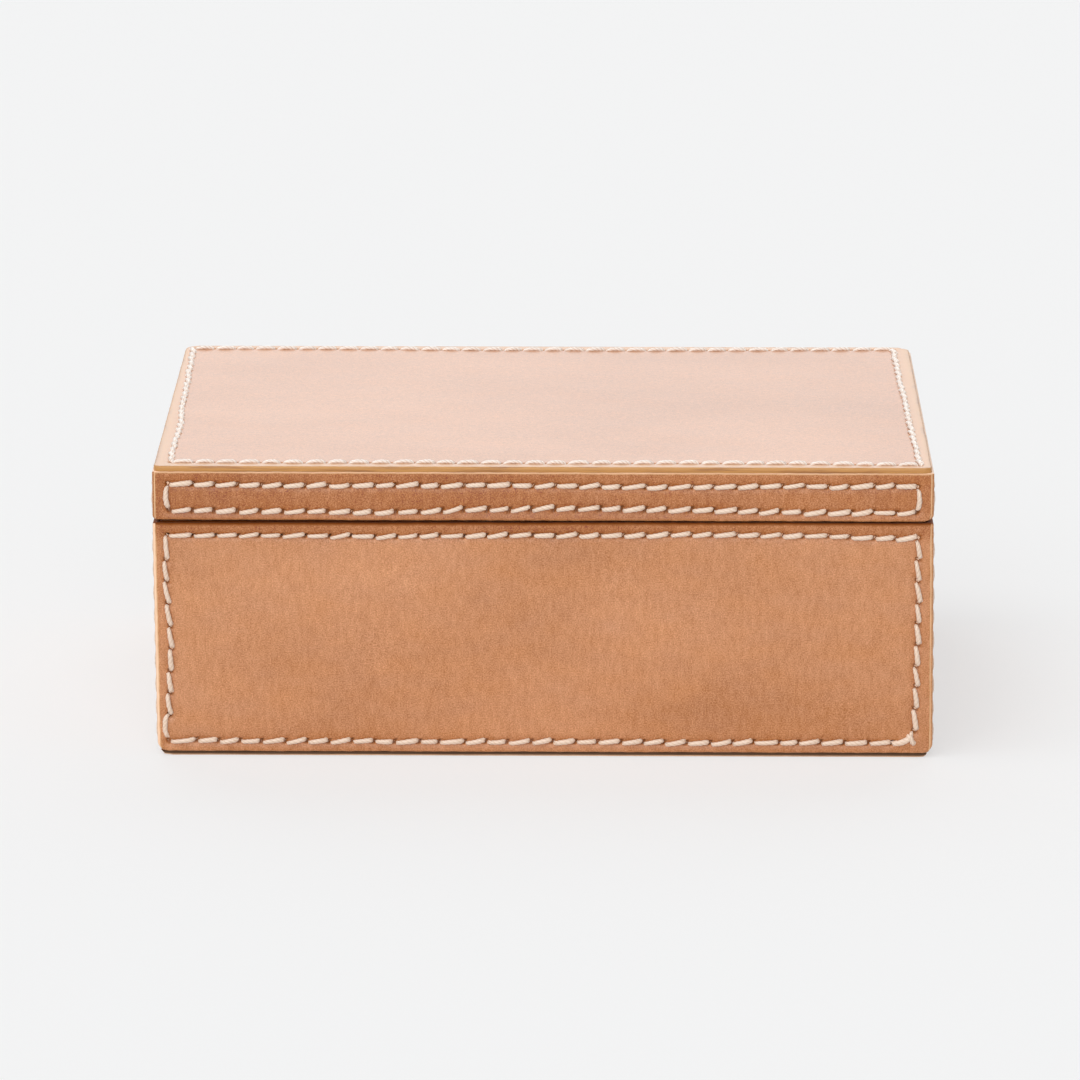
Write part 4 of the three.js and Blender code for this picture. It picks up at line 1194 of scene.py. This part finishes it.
# Rigid pieces: how near points are merged, in metres, how wide creases are rounded, and from what angle on in
# degrees
MERGE_DISTANCE = 0.000001
RIM_BEVEL = 0.2
BRASS_BEVEL = 0.08
CREASE_ANGLE = 35
HINGE_PARTS = ("base_leaf", "lid_leaf", "pin", "base_screw_1", "base_screw_2", "lid_screw_1", "lid_screw_2")


def refined_copy(node, name, body, slot, material, bevel):
    """A CAD piece with its points merged, its creases rounded by a bevel and its round faces smooth."""
    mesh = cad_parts[node].data.copy()
    work = bmesh.new()
    work.from_mesh(mesh)
    bmesh.ops.remove_doubles(work, verts=work.verts, dist=MERGE_DISTANCE)
    work.to_mesh(mesh)
    work.free()
    mesh.shade_smooth()
    mesh.materials.clear()
    mesh.materials.append(material)
    piece = bpy.data.objects.new(name, mesh)
    bpy.context.scene.collection.objects.link(piece)
    rounder = piece.modifiers.new("rounded creases", "BEVEL")
    rounder.width = bevel * MM
    rounder.segments = 2
    rounder.angle_limit = math.radians(CREASE_ANGLE)
    rounder.harden_normals = True
    wear(piece, body, slot, node)


def dress_frame(rim_leather, board, brass):
    """Boards keep their CAD shapes, and the rims and the brass get rounded creases."""
    for node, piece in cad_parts.items():
        if node.endswith("_board") or node.endswith("_rail"):
            piece.data.materials.clear()
            piece.data.materials.append(board)
    for body in ("base", "lid"):
        refined_copy(f"{body}_rim_leather", f"{body}_rim", body, "leather", rim_leather, RIM_BEVEL)
    for side in ("left", "right"):
        for part in HINGE_PARTS:
            body = "lid" if part.startswith("lid") else "base"
            refined_copy(f"{side}_hinge_{part}", f"{side}_{part}_brass", body, "brass", brass, BRASS_BEVEL)


# Floor, sky and lamps. A lamp has its compass turn from the front towards the left, its height and its
# breadth, all in degrees, and its strength. The floor's half width is in metres.
FLOOR_HALF = 6.0
SKY_STRENGTH = 0.35
LAMPS = {
    "front fill": (10, 25, 60, 1.53),
    "window": (65, 64, 34, 0.63),
    "left fill": (80, 30, 60, 0.2),
    "back light": (178, 40, 60, 0.8),
}


def seen_share(tree):
    """One for rays from the camera, from gloss and through glass, and nothing for the others."""
    path = tree.nodes.new("ShaderNodeLightPath").outputs
    seen = maths(tree, "MAXIMUM", path["Is Camera Ray"], path["Is Glossy Ray"])
    return maths(tree, "MAXIMUM", seen, path["Is Transmission Ray"])


def add_floor():
    """A pale floor that keeps the box's shadow."""
    mesh = bpy.data.meshes.new("floor")
    corners = [(x * FLOOR_HALF, y * FLOOR_HALF, 0) for x, y in ((-1, -1), (1, -1), (1, 1), (-1, 1))]
    mesh.from_pydata(corners, [], [(0, 1, 2, 3)])
    floor = bpy.data.objects.new("floor", mesh)
    bpy.context.scene.collection.objects.link(floor)
    material, tree, surface = new_material("floor paper")[:3]
    seen = seen_share(tree)
    fill(tree, surface, Base_Color=blend(tree, seen, FLOOR_WHITE, FLOOR_SHADED), Roughness=0.9,
         Specular_IOR_Level=0.0, Emission_Color=blend(tree, seen, BLACK, FLOOR_GLOW), Emission_Strength=1.0)
    mesh.materials.append(material)


def add_sky():
    """Even light from all round, which looks as white as the floor."""
    world = bpy.data.worlds.new("studio")
    world.use_nodes = True
    tree = world.node_tree
    sky = tree.nodes["Background"]
    fill(tree, sky, Color=WHITE, Strength=SKY_STRENGTH)
    paper = place(tree, "ShaderNodeBackground", Color=FLOOR_WHITE, Strength=1.0)
    both = place(tree, "ShaderNodeMixShader", i0=seen_share(tree), i1=sky.outputs[0], i2=paper.outputs[0])
    fill(tree, tree.nodes["World Output"], Surface=both.outputs[0])
    bpy.context.scene.world = world


def add_lamps():
    """Four broad soft lamps."""
    for name, (turn, height, breadth, strength) in LAMPS.items():
        data = bpy.data.lights.new(name, "SUN")
        data.angle = math.radians(breadth)
        data.energy = strength
        lamp = bpy.data.objects.new(name, data)
        lamp.rotation_euler = Euler((math.radians(90 - height), 0, math.radians(-turn)))
        bpy.context.scene.collection.objects.link(lamp)


add_camera()
effects = (hide_colour_group(), hide_relief_group(), burnish_group())
leather = leather_material("natural leather", *effects)
rim_half = spans("base_rim_leather", "top")[1][:2].tolist()
rim_leather = leather_material("rim leather", *effects, rim=rim_half)
add_stitched_panels(leather, thread_material("waxed thread", THREAD_CREAM),
                    thread_material("bleached thread", THREAD_TOP_LIGHT))
add_linings(suede_material())
dress_frame(rim_leather, board_material(), brass_material())
add_floor()
add_sky()
add_lamps()

bpy.context.scene.view_settings.view_transform = "Standard"
